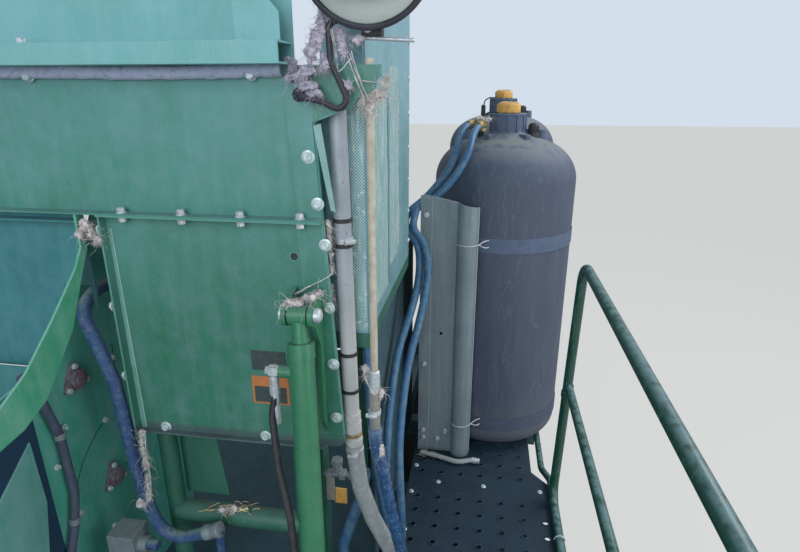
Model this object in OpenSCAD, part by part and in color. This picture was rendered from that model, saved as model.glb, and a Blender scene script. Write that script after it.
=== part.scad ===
// Side service section of a cotton picker: the deck with two rinse tanks and
// its hand rail, the rear end of the basket housing beside it, the lift
// cylinder, pipes and hoses between them, and the frame that carries both.
// Millimetres. X points outboard, Y forward, Z up. Pieces are laid out from
// the deck: X = 0 at its inboard edge, Y = 0 at the housing's rear panels and
// Z = 0 on its top face. The finished part is moved so that its origin is the
// centre of the mount plate's face.

/* [Frame] */
// Distance from the deck's inboard edge to the mount plate's face
mount_reach = 1040; // [1000:5:1080]
// Height of each long rail
rail_h = 120; // [100:5:160]
// Width of each long rail
rail_w = 80; // [60:5:90]
// Wall of the rails and cross members
box_wall = 6; // [4:1:8]
// Height of the cross members that lie on the rails
cross_h = 76; // [60:2:100]
// Width of the cross members
cross_w = 60; // [50:5:80]
// Thickness of the mount plate
mount_t = 12; // [8:1:20]
// Hole spacing of the mount plate along Y
mount_pitch_y = 300; // [200:10:400]
// Hole spacing of the mount plate along Z
mount_pitch_z = 170; // [160:5:200]
// Radius of the mount plate's holes
mount_hole_r = 11; // [8:0.5:14]

/* [Deck] */
// Width of the walking part of the deck
deck_w = 575; // [520:5:640]
// How much narrower the part under the tanks is
deck_narrow = 83; // [60:1:110]
// Thickness of the deck plate
deck_t = 4; // [3:0.5:8]
// Rear end of the deck
deck_rear = -950; // [-1000:10:-900]
// How far the deck reaches past the front tank's axis
deck_past = 340; // [320:10:440]
// Where the deck starts to narrow
deck_step = 715; // [680:5:760]
// Height of the angles under the deck's edges
edge_h = 46; // [30:2:60]
// Distance between grip holes across the deck
hole_pitch_x = 80; // [60:5:100]
// Distance between grip holes along the deck
hole_pitch_y = 75; // [60:5:100]
// Radius of a grip hole
grip_hole_r = 10; // [6:1:12]
// Height of the pressed rim round a grip hole
grip_rim_h = 3; // [2:0.5:5]

/* [Hand rail] */
// Tube diameter of the hand rail
hand_tube_d = 33; // [28:1:42]
// Height of the top rail's axis
hand_top_z = 955; // [900:5:1050]
// Height of the middle rail's axis
hand_mid_z = 505; // [450:5:600]
// Front post of the hand rail
hand_front_y = 655; // [600:5:680]
// Rear post of the hand rail
hand_rear_y = -880; // [-900:5:-820]
// Bend radius of the hand rail
hand_bend_r = 70; // [55:5:110]
// How far the top rail leans outboard of its foot
hand_lean = 22; // [0:2:40]

/* [Housing] */
// Sheet thickness of the housing
sheet_t = 4; // [3:0.5:6]
// Depth of the folded flanges
flange_d = 32; // [24:2:44]
// Bottom of the lower panel
lower_z = 640; // [600:5:680]
// Height of the joint between lower and upper panel
joint_z = 1228; // [1200:4:1260]
// Top of the upper panel
upper_top_z = 1548; // [1520:4:1560]
// Left edge of the lower panel
lower_left = -635; // [-660:5:-600]
// Right edge of the housing at the bottom of the lower panel
right_low = -70; // [-80:2:-66]
// Right edge of the housing at the top of the upper panel
right_high = -118; // [-130:2:-110]
// How far the ledge stands out of the panels
ledge_d = 80; // [60:5:100]
// Height of the ledge's face
ledge_h = 42; // [30:2:60]
// Top of the housing
housing_top_z = 1950; // [1900:10:2050]
// Forward end of the screen wall's rounded corner
screen_front = 865; // [820:5:900]
// Bottom of the screen wall
screen_low_z = 925; // [880:5:960]
// Face of the screen wall
screen_x = -22; // [-40:2:-18]
// Radius of the screen wall's forward corner
corner_r = 90; // [60:5:110]

/* [Inner side] */
// Face of the inner side plate
side_x = -805; // [-820:5:-790]
// Thickness of the inner side plate
side_t = 6; // [4:1:10]
// Height of the upper bearing
bearing_high_z = 776; // [760:1:820]
// Place of the upper bearing along Y
bearing_high_y = -4; // [-10:1:20]
// Height of the lower bearing
bearing_low_z = 414; // [390:1:440]
// Place of the lower bearing along Y
bearing_low_y = 65; // [50:1:80]
// Shaft diameter in the bearings
shaft_d = 30; // [24:1:32]
// Radial running clearance of a shaft
shaft_gap = 0.05; // [0.02:0.01:0.1]
// Thickness of a bearing flange
bearing_t = 9; // [6:1:14]
// Distance from a bearing's centre to each of its bolts
bearing_bolt_r = 37; // [34:1:42]
// How far a shaft reaches inboard of the side plate
shaft_in = 120; // [80:5:140]
// Face of the slanting brace
brace_x = -685; // [-700:5:-670]

/* [Cylinder] */
// Barrel diameter of the lift cylinder
barrel_d = 57; // [54:1:70]
// Rod diameter of the lift cylinder
rod_d = 36; // [30:1:42]
// Diameter of the cylinder's two pins
pin_d = 25; // [20:1:30]
// Gap between the bracket's ears
ear_gap = 50; // [44:1:60]
// Thickness of an ear
ear_t = 10; // [8:1:14]
// Height of the upper pin
pin_top_z = 1030; // [1010:5:1050]
// Distance of the upper pin behind the lower panel's face
pin_top_out = 74; // [66:2:84]

/* [Tanks] */
// Diameter of a tank
tank_d = 575; // [550:5:590]
// Height of a tank's straight wall
tank_wall_h = 1150; // [1100:10:1200]
// Rise of a tank's shoulder from its wall to the foot of its neck
shoulder_h = 185; // [175:5:200]
// Radius of a tank's rounded foot
foot_r = 85; // [50:5:110]
// Height of the neck
neck_h = 76; // [60:2:90]
// Diameter of the neck
neck_d = 140; // [130:5:150]
// Distance from the deck's inboard edge to the tanks' axes
tank_x = 328; // [315:5:345]
// Place of the rear tank along Y
tank_y = 1210; // [1200:5:1225]
// Distance between the two tanks' axes
tank_pitch = 880; // [820:10:940]
// Height of the rubber pad under the rear tank
tank_pad = 8; // [4:1:14]
// How much higher the front tank stands
tank_step = 45; // [0:5:60]
// Diameter of a cap
cap_d = 96; // [84:2:110]
// Height of a cap's grip
cap_h = 34; // [28:1:44]
// Height of the upper strap's middle
strap_high_z = 930; // [880:5:980]
// Height of the lower strap's middle
strap_low_z = 135; // [110:5:200]
// Width of a strap
strap_h = 58; // [40:2:70]
// Thickness of a strap
strap_t = 3; // [2:0.5:5]
// Height of the tank cradle
cradle_h = 1085; // [1040:5:1140]
// Sheet thickness of the cradle
cradle_t = 4; // [3:0.5:6]

/* [Pipes and hoses] */
// Diameter of the grey air pipe
air_pipe_d = 40; // [34:1:46]
// Diameter of the hose below the air pipe
air_hose_d = 46; // [40:1:50]
// Diameter of the thin line beside it
line_d = 18; // [14:1:24]
// Diameter of the wrapped hose below the thin line
wrapped_d = 36; // [28:1:40]
// Diameter of the thick suction hose
suction_d = 42; // [36:1:46]
// Diameter of the side hose
side_hose_d = 22; // [16:1:26]
// Diameter of a tank hose
tank_hose_d = 28; // [22:1:30]
// Diameter of the cylinder's hose
cyl_hose_d = 17; // [14:1:22]

/* [Mirror] */
// Diameter of the round mirror
mirror_d = 255; // [220:5:300]
// Depth of the mirror's bowl
mirror_depth = 46; // [36:2:60]
// Tube diameter of the mirror's arm
mirror_arm_d = 20; // [16:1:26]

/* [Hidden] */
$fn = 64;

green = [0.13, 0.44, 0.27];
green_pale = [0.28, 0.52, 0.42];
green_dark = [0.08, 0.25, 0.24];
steel = [0.62, 0.64, 0.64];
grey_sheet = [0.42, 0.49, 0.50];
tank_grey = [0.27, 0.31, 0.38];
hose_blue = [0.16, 0.31, 0.52];
black = [0.08, 0.09, 0.10];

// Heights that follow from the deck down
cross_top = -deck_t - edge_h;
rail_top = cross_top - cross_h;
rail_mid_z = rail_top - rail_h / 2;
mount_y = 450;
rail_left_x = -mount_reach + mount_t + rail_w / 2;
rail_right_x = -140;
deck_tank_w = deck_w - deck_narrow;
deck_front = tank_y + tank_pitch + deck_past;
tank_neck_z = tank_wall_h + shoulder_h;
cross_ys = [-840, -448, -290, 30, 700, tank_y, tank_y + tank_pitch];
post_ys = [130, 700];
touch = 0.3;
pan_t = 3;
bend_step = 18;

// Basic vector helpers
function unit(v) = v / norm(v);
function any_normal(v) =
    unit(cross(v, abs(v[2]) < 0.9 * norm(v) ? [0, 0, 1] : [1, 0, 0]));

// Places children with their own axes along the vectors ax, ay, az
module framed(origin, ax, ay, az) {
    multmatrix([[ax[0], ay[0], az[0], origin[0]],
                [ax[1], ay[1], az[1], origin[1]],
                [ax[2], ay[2], az[2], origin[2]],
                [0, 0, 0, 1]])
        children();
}

// Straight round bar from point a to point b
module bar(a, b, d) {
    az = unit(b - a);
    ax = any_normal(az);
    framed(a, ax, cross(az, ax), az) cylinder(h = norm(b - a), d = d);
}

// Points of the bend of radius r at a corner between two legs of a path
function bend(before, corner, after, r) =
    let (u = unit(corner - before), v = unit(after - corner),
         turn = acos(min(1, u * v)))
    turn < 1 ? [corner] :
    let (n = unit(v - (u * v) * u),
         centre = corner - u * (r * tan(turn / 2)) + n * r,
         steps = ceil(turn / bend_step))
    [for (j = [0:steps])
        centre - n * (r * cos(turn * j / steps))
               + u * (r * sin(turn * j / steps))];

// Middle line of a tube that follows a path
function middle_line(path, r) = concat(
    [path[0]],
    [for (i = [1:len(path) - 2])
        each bend(path[i - 1], path[i], path[i + 1], r)],
    [path[len(path) - 1]]);

// Direction of a line of points at its point i
function heading(line, i) = unit(
    line[min(i + 1, len(line) - 1)] - line[max(i - 1, 0)]);

// Tube along a path of points, bent to radius r at each inner point
module tube(path, r, d, sides = 10) {
    line = middle_line(path, r);
    last = len(line) - 1;
    normals = [for (i = 0, n = any_normal(heading(line, 0)); i <= last;
                    i = i + 1,
                    n = i > last ? n :
                        unit(n - (n * heading(line, i)) * heading(line, i)))
               n];
    points = [for (i = [0:last], k = [0:sides - 1])
              let (t = heading(line, i), a = 360 * k / sides)
              line[i] + d / 2 * (cos(a) * normals[i]
                                 + sin(a) * cross(t, normals[i]))];
    polyhedron(points, concat(
        [[for (k = [0:sides - 1]) k]],
        [[for (k = [sides - 1:-1:0]) last * sides + k]],
        [for (i = [0:last - 1], k = [0:sides - 1])
            let (a = i * sides + k, b = i * sides + (k + 1) % sides)
            [a, a + sides, b + sides, b]]), 8);
}

// Hollow box section along Y, centred on X and standing on Z = 0
module box_along_y(w, h, length, wall) {
    translate([0, length, 0]) rotate([90, 0, 0]) linear_extrude(length)
        difference() {
            translate([-w / 2, 0]) square([w, h]);
            translate([-w / 2 + wall, wall])
                square([w - 2 * wall, h - 2 * wall]);
        }
}

// Hollow box section along X, centred on Y and standing on Z = 0
module box_along_x(w, h, length, wall) {
    translate([length, 0, 0]) rotate([0, 0, 90]) box_along_y(w, h, length, wall);
}

// Flat outline in the YZ plane, t thick towards -X from x
module plate_yz(x, t, points) {
    translate([x - t, 0, 0]) rotate([90, 0, 90]) linear_extrude(t)
        polygon(points);
}

// Flat outline in the XZ plane, t thick towards +Y from y
module plate_xz(y, t, points) {
    translate([0, y + t, 0]) rotate([90, 0, 0]) linear_extrude(t)
        polygon(points);
}

// Rails

module chassis_rails() {
    color(green_dark) {
        for (x = [rail_left_x, rail_right_x])
            translate([x, deck_rear + 20, rail_top - rail_h])
                box_along_y(rail_w, rail_h, deck_front - deck_rear - 40,
                            box_wall);
        difference() {
            translate([-mount_reach, mount_y - mount_pitch_y / 2 - 40,
                       rail_mid_z - mount_pitch_z / 2 - 30])
                cube([mount_t, mount_pitch_y + 80, mount_pitch_z + 60]);
            for (sy = [-1, 1], sz = [-1, 1])
                translate([-mount_reach - 1, mount_y + sy * mount_pitch_y / 2,
                           rail_mid_z + sz * mount_pitch_z / 2])
                    rotate([0, 90, 0])
                        cylinder(h = mount_t + 2, r = mount_hole_r);
        }
    }
}

module cross_members() {
    reach = deck_w - 8 + mount_reach - mount_t;
    color(green_dark)
        for (y = cross_ys)
            translate([-mount_reach + mount_t, y, rail_top])
                box_along_x(cross_w, cross_h,
                            y > deck_step ? reach - deck_w + deck_tank_w + 60
                                          : reach, box_wall);
}

module belly_pan() {
    front = cross_ys[5] + cross_w / 2;
    rear = cross_ys[2] + cross_w / 2 + 4;
    right = -60;
    color(green_dark) {
        translate([-mount_reach + mount_t, rear, cross_top])
            cube([right + mount_reach - mount_t, front - rear, pan_t]);
        // Side sheet turned up under the screen wall
        translate([right - pan_t, 300, cross_top])
            cube([pan_t, front - 300, sill_z - cross_top - touch]);
    }
}

// Deck

hose_notch = [95, -60, 300];
deck_seam = 660;
seam_gap = 1.5;

// Deck plates as [left x, right x, rear y, front y]
deck_plates = [
    [0, deck_w, deck_rear, hose_notch[1]],
    [hose_notch[0], deck_w, hose_notch[1] + seam_gap, hose_notch[2]],
    [0, deck_w, hose_notch[2] + seam_gap, deck_seam]];

// Last deck plate, which narrows under the tanks
function tank_plate() = [
    [0, deck_seam + seam_gap], [deck_w, deck_seam + seam_gap],
    [deck_w, deck_step], [deck_tank_w, deck_step + 95],
    [deck_tank_w, deck_front], [0, deck_front]];

function hole_ok(x, y) =
    (x < deck_tank_w - 30 || y < deck_step - 40) &&
    (x > hose_notch[0] + 25 || y < hose_notch[1] - 25
                            || y > hose_notch[2] + 25) &&
    abs(y - deck_seam) > 24 && abs(y - hose_notch[1]) > 24
    && abs(y - hose_notch[2]) > 24;

module deck_plate() {
    rows = floor((deck_front - deck_rear - 90) / hole_pitch_y);
    cols = floor((deck_w - 60) / hole_pitch_x);
    places = [for (i = [0:cols], j = [0:rows])
              let (x = 46 + i * hole_pitch_x,
                   y = deck_rear + 50 + j * hole_pitch_y)
              if (hole_ok(x, y)) [x, y]];
    walked = [for (p = places) if (p[1] < tank_y - tank_d / 2 - 60) p];
    color(green_dark) {
        translate([0, 0, -deck_t]) linear_extrude(deck_t) difference() {
            union() {
                for (d = deck_plates)
                    translate([d[0], d[2]]) square([d[1] - d[0], d[3] - d[2]]);
                polygon(tank_plate());
            }
            for (p = places) translate(p) circle(r = grip_hole_r, $fn = 24);
        }
        linear_extrude(grip_rim_h) difference() {
            for (p = walked) translate(p)
                circle(r = grip_hole_r + 3, $fn = 24);
            for (p = walked) translate(p) circle(r = grip_hole_r, $fn = 24);
        }
    }
}

module deck_frame() {
    z = cross_top;
    t = 5;
    color(green_dark) {
        for (span = [[deck_rear + 12, hose_notch[1] - 5],
                     [hose_notch[2] + 5, deck_front - 12]])
            translate([2, span[0], z]) {
                cube([t, span[1] - span[0], edge_h]);
                translate([t, 0, edge_h - t])
                    cube([20, span[1] - span[0], t]);
            }
        translate([deck_w - 7, deck_rear + 12, z])
            cube([t, deck_step - deck_rear - 14, edge_h]);
        translate([deck_tank_w - 7, deck_step + 100, z])
            cube([t, deck_front - deck_step - 112, edge_h]);
        translate([2, deck_rear + 5, z]) cube([deck_w - 4, t, edge_h]);
        translate([2, deck_front - 10, z]) cube([deck_tank_w - 4, t, edge_h]);
    }
}

// Hand rail

hand_x = deck_w - 12;
edge_tube_d = hand_tube_d - 6;
edge_tube_z = cross_top + edge_tube_d / 2 + touch;

module hand_rail() {
    foot_z = hand_tube_d / 2 + grip_rim_h + touch;
    top_x = hand_x + hand_lean;
    mid_x = hand_x + hand_lean * hand_mid_z / hand_top_z;
    foot_gap = 200;
    color(green) {
        // Foot run, post, top rail, post and foot run in one bent tube
        tube([[hand_x, foot_gap / 2, foot_z],
              [hand_x, hand_front_y, foot_z],
              [top_x, hand_front_y, hand_top_z],
              [top_x, hand_rear_y, hand_top_z],
              [hand_x, hand_rear_y, foot_z],
              [hand_x, -foot_gap / 2, foot_z]],
             hand_bend_r, hand_tube_d, 12);
        bar([mid_x, hand_rear_y, hand_mid_z], [mid_x, hand_front_y, hand_mid_z],
            hand_tube_d - 4);
        // Sleeve that closes the foot run
        bar([hand_x, -foot_gap / 2 - 10, foot_z],
            [hand_x, foot_gap / 2 + 10, foot_z], hand_tube_d - 3);
        // Edge tube that runs on over the cross members' ends
        tube([[hand_x, hand_front_y - 110, foot_z],
              [hand_x, deck_step + 30, foot_z],
              [hand_x - 18, deck_step + 170, edge_tube_z],
              [hand_x - 18, deck_front - 30, edge_tube_z]],
             120, edge_tube_d);
    }
}

// Housing

// Right edge of the housing at height z
function right_at(z) = right_low + (right_high - right_low)
    * (z - lower_z) / (upper_top_z - lower_z);

module lower_panel() {
    left = lower_left;
    low = lower_z;
    high = joint_z - touch;
    round_r = 26;
    color(green) {
        difference() {
            plate_xz(0, sheet_t, concat(
                [[left, high], [left, low]],
                [for (a = [-90:15:0])
                    [right_at(low) - round_r + round_r * cos(a),
                     low + round_r + round_r * sin(a)]],
                [[right_at(high), high]]));
            translate([-175, -1, 1140]) rotate([-90, 0, 0])
                cylinder(h = sheet_t + 2, r = 9);
        }
        // Folded top, left and bottom flanges
        translate([left, -flange_d, high - sheet_t])
            cube([right_at(high) - left, flange_d, sheet_t]);
        translate([left, -flange_d + 6, low])
            cube([sheet_t, flange_d - 6, high - low - sheet_t]);
        translate([left + sheet_t, -18, low])
            cube([right_at(low) - left - 60, 18, sheet_t]);
        // Strip that doubles the right edge
        plate_xz(-sheet_t, sheet_t, [
            [right_at(low) - 62, low + 40], [right_at(low) - 3, low + 40],
            [right_at(high) - 3, high - sheet_t],
            [right_at(high) - 62, high - sheet_t]]);
    }
}

module upper_panel() {
    low = joint_z;
    high = upper_top_z;
    left = -mount_reach + 2;
    color(green) {
        // Corner plate behind the mirror's arm, cut slanting under its end
        plate_xz(-sheet_t, sheet_t, [
            [right_high - 10, high - 118], [-40, high - 86], [32, high - 20],
            [32, high], [right_high - 10, high]]);
        plate_xz(0, sheet_t, [[left, low], [right_at(low), low],
                              [right_at(high), high], [left, high]]);
        translate([left, -flange_d, low])
            cube([right_at(low) - left, flange_d, sheet_t]);
        translate([left, sheet_t, low])
            cube([sheet_t, flange_d, high - low]);
        // Right return that closes the housing's corner
        plate_yz(right_high + 2, sheet_t, [
            [sheet_t, screen_low_z], [200, screen_low_z], [200, high],
            [sheet_t, high]]);
        plate_xz(-sheet_t, sheet_t, [
            [right_at(low) - 58, low + sheet_t], [right_at(low) - 3, low + sheet_t],
            [right_at(high) - 3, high - 20], [right_at(high) - 58, high - 20]]);
    }
}

module ledge() {
    z = upper_top_z;
    left = -mount_reach + 2;
    right = right_high - 34;
    color(green_pale) {
        translate([0, -ledge_d, z]) cube_span(left, right, sheet_t,
                                              ledge_h);
        translate([0, -ledge_d + sheet_t, z]) cube_span(left, right,
                                              ledge_d - sheet_t, sheet_t);
        translate([0, -ledge_d + sheet_t, z + ledge_h - sheet_t])
            cube_span(left, right, ledge_d - sheet_t, sheet_t);
        // Gusset above the ledge's right end
        plate_xz(-ledge_d + 16, sheet_t, [
            [right - 90, z + ledge_h], [right, z + ledge_h],
            [right, z + ledge_h + 50], [right - 62, z + ledge_h + 120],
            [right - 90, z + ledge_h + 120]]);
    }
}

// Block from x0 to x1, w along Y and h along Z
module cube_span(x0, x1, w, h) {
    translate([x0, 0, 0]) cube([x1 - x0, w, h]);
}

module top_panel() {
    left = -mount_reach + 2;
    low = upper_top_z + touch;
    color(green_pale) {
        translate([0, touch, low])
            cube_span(left, right_high - 30, sheet_t, housing_top_z - low);
        translate([left, sheet_t + touch, low])
            cube([sheet_t, flange_d, housing_top_z - low]);
        // Roof sheet that ties the rear panels to the screen wall
        translate([left, sheet_t + touch, housing_top_z - sheet_t])
            cube([screen_x - left - 2 * sheet_t, screen_front - 130, sheet_t]);
    }
}

module left_panel() {
    left = -mount_reach + 2;
    low = bearing_high_z + 26;
    step = 975;
    high = joint_z - touch;
    middle = side_x - side_t - touch;
    right = brace_x - 6 - touch;
    notch = [right - 84, right - 12, step + 68];
    color(green_pale) {
        // Sheet with a notch that the navy hose comes through
        plate_xz(0, sheet_t, [
            [left, low], [middle, low], [middle, step], [notch[0], step],
            [notch[0], notch[2]], [notch[1], notch[2]], [notch[1], step],
            [right, step], [right, high], [left, high]]);
        // Lip under the joint, and the flange at the left edge
        translate([left, -30, high - 20]) cube([right - left, 31, sheet_t]);
        translate([left, sheet_t - 1, low])
            cube([sheet_t, flange_d, high - low]);
    }
}

module side_plate() {
    color(green) {
        difference() {
            plate_yz(side_x, side_t, [
                [-345, 820], [-150, 850], [-30, 930], [90, 1050],
                [200, joint_z - 4], [450, joint_z - 4], [450, cross_top + pan_t],
                [-345, cross_top + pan_t]]);
            for (b = bearings())
                translate([side_x - side_t - 1, b[0], b[1]])
                    rotate([0, 90, 0])
                        cylinder(h = side_t + 2, d = shaft_d + 8);
        }
        // Foot flange on the belly pan, and the bulkhead at the far end
        translate([side_x - side_t - 40, -250, cross_top + pan_t])
            cube([40, 690, 5]);
        plate_xz(446, 4, [
            [-mount_reach + mount_t + 4, cross_top + pan_t],
            [side_x - 1, cross_top + pan_t], [side_x - 1, joint_z - 4],
            [-mount_reach + mount_t + 4, joint_z - 4]]);
    }
}

module side_guard() {
    color(green_pale)
        plate_yz(side_x + 5 + touch, 5, [
            [-172, 520], [-178, 700], [-190, 690], [-420, 517], [-420, 240],
            [-230, 240]]);
}

module brace() {
    color(green) {
        plate_yz(brace_x, 6, [
            [-6, joint_z - touch], [-6, 1150], [-36, 1100], [-106, 970],
            [-219, 852], [-289, 822], [-351, 815], [-440, 790],
            [-440, 862], [-331, 897], [-254, 936], [-156, 1017],
            [-60, 1105], [-30, 1150], [-30, joint_z - touch]]);
        // Post that the brace's lower end is welded to
        translate([brace_x - 30, cross_ys[1] - 22, cross_top])
            cube([40, 44, 862 - cross_top]);
    }
}

module screen_wall() {
    low = screen_low_z;
    high = housing_top_z;
    rear = 80;
    front = screen_front - corner_r;
    color(green) {
        plate_yz(screen_x, 3, [[rear, low], [front, low], [front, high],
                               [rear, high]]);
        // Folded frame round the screen, with plain sheet over and beside it
        translate([screen_x, rear, low]) cube([4, 34, high - low]);
        translate([screen_x, rear + 34, low]) cube([4, 247, 34]);
        translate([screen_x, rear + 34, 1480]) cube([4, 247, high - 1480]);
        translate([screen_x, rear + 280, low])
            cube([4, front - rear - 280, high - low]);
        // Rear return towards the housing's corner
        translate([right_high + 2, rear - 4, low])
            cube([screen_x - right_high - 2, 4, high - low - sheet_t - touch]);
    }
}

module corner_post() {
    low = screen_low_z - 30;
    high = housing_top_z;
    y0 = screen_front - corner_r;
    color(green_pale)
        difference() {
            union() {
                translate([screen_x - corner_r, y0, low])
                    cylinder(h = high - low, r = corner_r);
            }
            translate([screen_x - corner_r, y0, low - 1])
                cylinder(h = high - low + 2, r = corner_r - 5);
            translate([screen_x - 2 * corner_r - 1, y0 - corner_r - 1, low - 1])
                cube([2 * corner_r + 2, corner_r + 1, high - low + 2]);
            translate([screen_x - 2 * corner_r - 1, y0 - 1, low - 1])
                cube([corner_r + 1, corner_r + 2, high - low + 2]);
        }
}

// Lift cylinder

pin_top = [-145, -pin_top_out, pin_top_z];
pin_low = [-72, cross_ys[2], cross_top + 48];
cyl_dir = unit(pin_top - pin_low);
barrel_from = 52;
barrel_to = norm(pin_top - pin_low) - 64;

module cylinder_bracket() {
    color(green)
        difference() {
            for (s = [-1, 1])
                plate_yz(pin_top[0] + s * (ear_gap + ear_t) / 2 + ear_t / 2,
                         ear_t, concat(
                    [for (a = [90:15:270])
                        [pin_top[1] + 26 * cos(a), pin_top[2] + 26 * sin(a)]],
                    s < 0 ? [[-sheet_t - touch, pin_top[2] - 60]]
                          : [[-36, pin_top[2] - 90], [-34, 730],
                             [-sheet_t - touch, 690]],
                    [[-sheet_t - touch, pin_top[2] + 40]]));
            translate([pin_top[0] - 60, pin_top[1], pin_top[2]])
                rotate([0, 90, 0]) cylinder(h = 120, d = pin_d + 0.2);
        }
}

module cylinder_pins() {
    half = ear_gap / 2 + ear_t + 8;
    color(steel)
        for (p = [pin_top, pin_low])
            translate([p[0] - half, p[1], p[2]]) rotate([0, 90, 0]) {
                cylinder(h = 2 * half, d = pin_d);
                for (z = [2 * half - 7.5, 0.5]) translate([0, 0, z])
                    cylinder(h = 7, d = pin_d + 8);
            }
}

module cylinder_base() {
    z = cross_top;
    color(green_dark)
        difference() {
            union() {
                translate([pin_low[0] - 50, pin_low[1] - 30, z])
                    cube([100, 60, 8]);
                for (s = [-1, 1])
                    plate_yz(pin_low[0] + s * (ear_gap + ear_t) / 2
                                 + ear_t / 2, ear_t, concat(
                        [[pin_low[1] - 26, z + 8], [pin_low[1] + 26, z + 8]],
                        [for (a = [0:15:180])
                            [pin_low[1] + 26 * cos(a),
                             pin_low[2] + 26 * sin(a)]]));
            }
            translate([pin_low[0] - 60, pin_low[1], pin_low[2]])
                rotate([0, 90, 0]) cylinder(h = 120, d = pin_d + 0.2);
        }
}

module cylinder_barrel() {
    a = pin_low + cyl_dir * barrel_from;
    b = pin_low + cyl_dir * barrel_to;
    color(green)
        difference() {
            union() {
                bar(a, b, barrel_d);
                bar(b - cyl_dir * 34, b, barrel_d + 5);
                bar(pin_low + cyl_dir * 18, a + cyl_dir, rod_d);
                translate([pin_low[0] - ear_gap / 2 + 4, pin_low[1],
                           pin_low[2]])
                    rotate([0, 90, 0]) cylinder(h = ear_gap - 8, d = 46);
                // Port boss near the gland
                bar(b - cyl_dir * 68, b - cyl_dir * 68 - [54, 0, 0], 30);
            }
            bar(b - cyl_dir * 300, b + cyl_dir, rod_d + 4);
            translate([pin_low[0] - 60, pin_low[1], pin_low[2]])
                rotate([0, 90, 0]) cylinder(h = 120, d = pin_d + 0.2);
        }
}

module cylinder_rod() {
    b = pin_low + cyl_dir * barrel_to;
    color(green)
        difference() {
            union() {
                bar(b - cyl_dir * 290, pin_top - cyl_dir * 16, rod_d);
                bar(b + cyl_dir * 2, b + cyl_dir * 10, rod_d + 4);
                translate([pin_top[0] - ear_gap / 2 + 4, pin_top[1],
                           pin_top[2]])
                    rotate([0, 90, 0]) cylinder(h = ear_gap - 8, d = 46);
            }
            translate([pin_top[0] - 60, pin_top[1], pin_top[2]])
                rotate([0, 90, 0]) cylinder(h = 120, d = pin_d + 0.2);
        }
}

cyl_port = pin_low + cyl_dir * (barrel_to - 68) - [54, 0, 0];

module cylinder_hose() {
    e = cyl_port;
    color(black) {
        bar(e, e - [26, 0, 0], 24);
        tube([e - [14, 0, 0], e - [14, 0, 62]], 10, 20);
        tube([e - [14, 0, 62], e - [22, 10, 112], [e[0], -150, 680],
              [e[0] + 37, -192, 571], [e[0] + 56, -222, 400],
              [e[0] + 62, -238, 160], [e[0] + 62, -238, cross_top + 40]],
             90, cyl_hose_d);
        bar([e[0] + 62, -238, cross_top + pan_t + touch],
            [e[0] + 62, -238, cross_top + 40], 26);
    }
}

// Bearings and shafts

shaft_end_d = shaft_d - 2;

function bearings() = [[bearing_high_y, bearing_high_z],
                       [bearing_low_y, bearing_low_z]];

module bearing_flanges() {
    r = bearing_bolt_r;
    corner = 11;
    color([0.42, 0.24, 0.18])
        for (b = bearings())
            translate([side_x + touch, b[0], b[1]]) rotate([0, 90, 0])
                difference() {
                    union() {
                        linear_extrude(bearing_t) polygon(
                            [for (k = [0:2], a = [-60:20:60])
                                let (t = 180 + 120 * k)
                                [r * cos(t) + corner * cos(t + a),
                                 r * sin(t) + corner * sin(t + a)]]);
                        cylinder(h = bearing_t + 12, d = shaft_d + 22);
                    }
                    translate([0, 0, -1])
                        cylinder(h = bearing_t + 14,
                                 d = shaft_d + 2 * shaft_gap);
                    for (k = [0:2])
                        rotate([0, 0, 180 + 120 * k])
                            translate([r, 0, -1])
                                cylinder(h = bearing_t + 2, r = 5.5);
                }
}

module shaft(b) {
    journal = side_t + bearing_t + 25;
    color([0.36, 0.22, 0.18])
        translate([side_x - side_t - shaft_in, b[0], b[1]])
            rotate([0, 90, 0])
                difference() {
                    union() {
                        cylinder(h = shaft_in - 10 + 1, d = shaft_end_d);
                        translate([0, 0, shaft_in - 10])
                            cylinder(h = journal, d = shaft_d);
                    }
                    translate([shaft_end_d / 2 - 4, -4, -1])
                        cube([10, 8, 51]);
                }
}

module shaft_high() {
    shaft(bearings()[0]);
}

module shaft_low() {
    shaft(bearings()[1]);
}

// Tubes that carry the housing

sill_z = screen_low_z - 40;

module tube_frame() {
    left_x = -597;
    right_x = -203;
    y = 50;
    color(green) {
        bar([left_x, y, cross_top + pan_t], [left_x, y, lower_z + 20], 50);
        bar([right_x, y, cross_top + pan_t], [right_x, y, lower_z + 20], 56);
        bar([left_x + 5, y, 335], [right_x - 5, y, 335], 60);
        // Sheet that hangs between the tube and the panel
        plate_xz(y + 34, 4, [[-582, 372], [-450, 372], [-470, 560],
                             [-470, 640], [-582, 640]]);
        // Cross head under the lower panel
        translate([-640, sheet_t + touch, lower_z])
            cube([545, 90, 40]);
        // Uprights and sill that carry the screen wall
        for (y = post_ys)
            translate([-215, y - 25, cross_top + pan_t])
                cube([50, 50, sill_z - cross_top - pan_t + 1]);
        translate([-215, 76, sill_z])
            cube([215 + screen_x + 4, screen_front - corner_r - 76 - touch,
                  screen_low_z - sill_z - touch]);
    }
}

// Blocks that the hoses run into

block_low = [-725, -95, 200];
manifold_low = [-40, 70, -190];
manifold_top = manifold_low[2] + 90;

module valve_blocks() {
    color(steel) {
        translate(block_low) cube([76, 70, 150]);
        bar(block_low + [76, 35, 105], block_low + [98, 35, 105], 44);
        translate(block_low - [0, 0, block_low[2] - cross_top - 3])
            cube([76, 70, block_low[2] - cross_top - 3]);
        translate(manifold_low) cube([140, 215, 90]);
        translate([rail_right_x + rail_w / 2, 100, manifold_low[2] + 20])
            cube([manifold_low[0] - rail_right_x - rail_w / 2, 50, 12]);
    }
}

// Hoses

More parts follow.
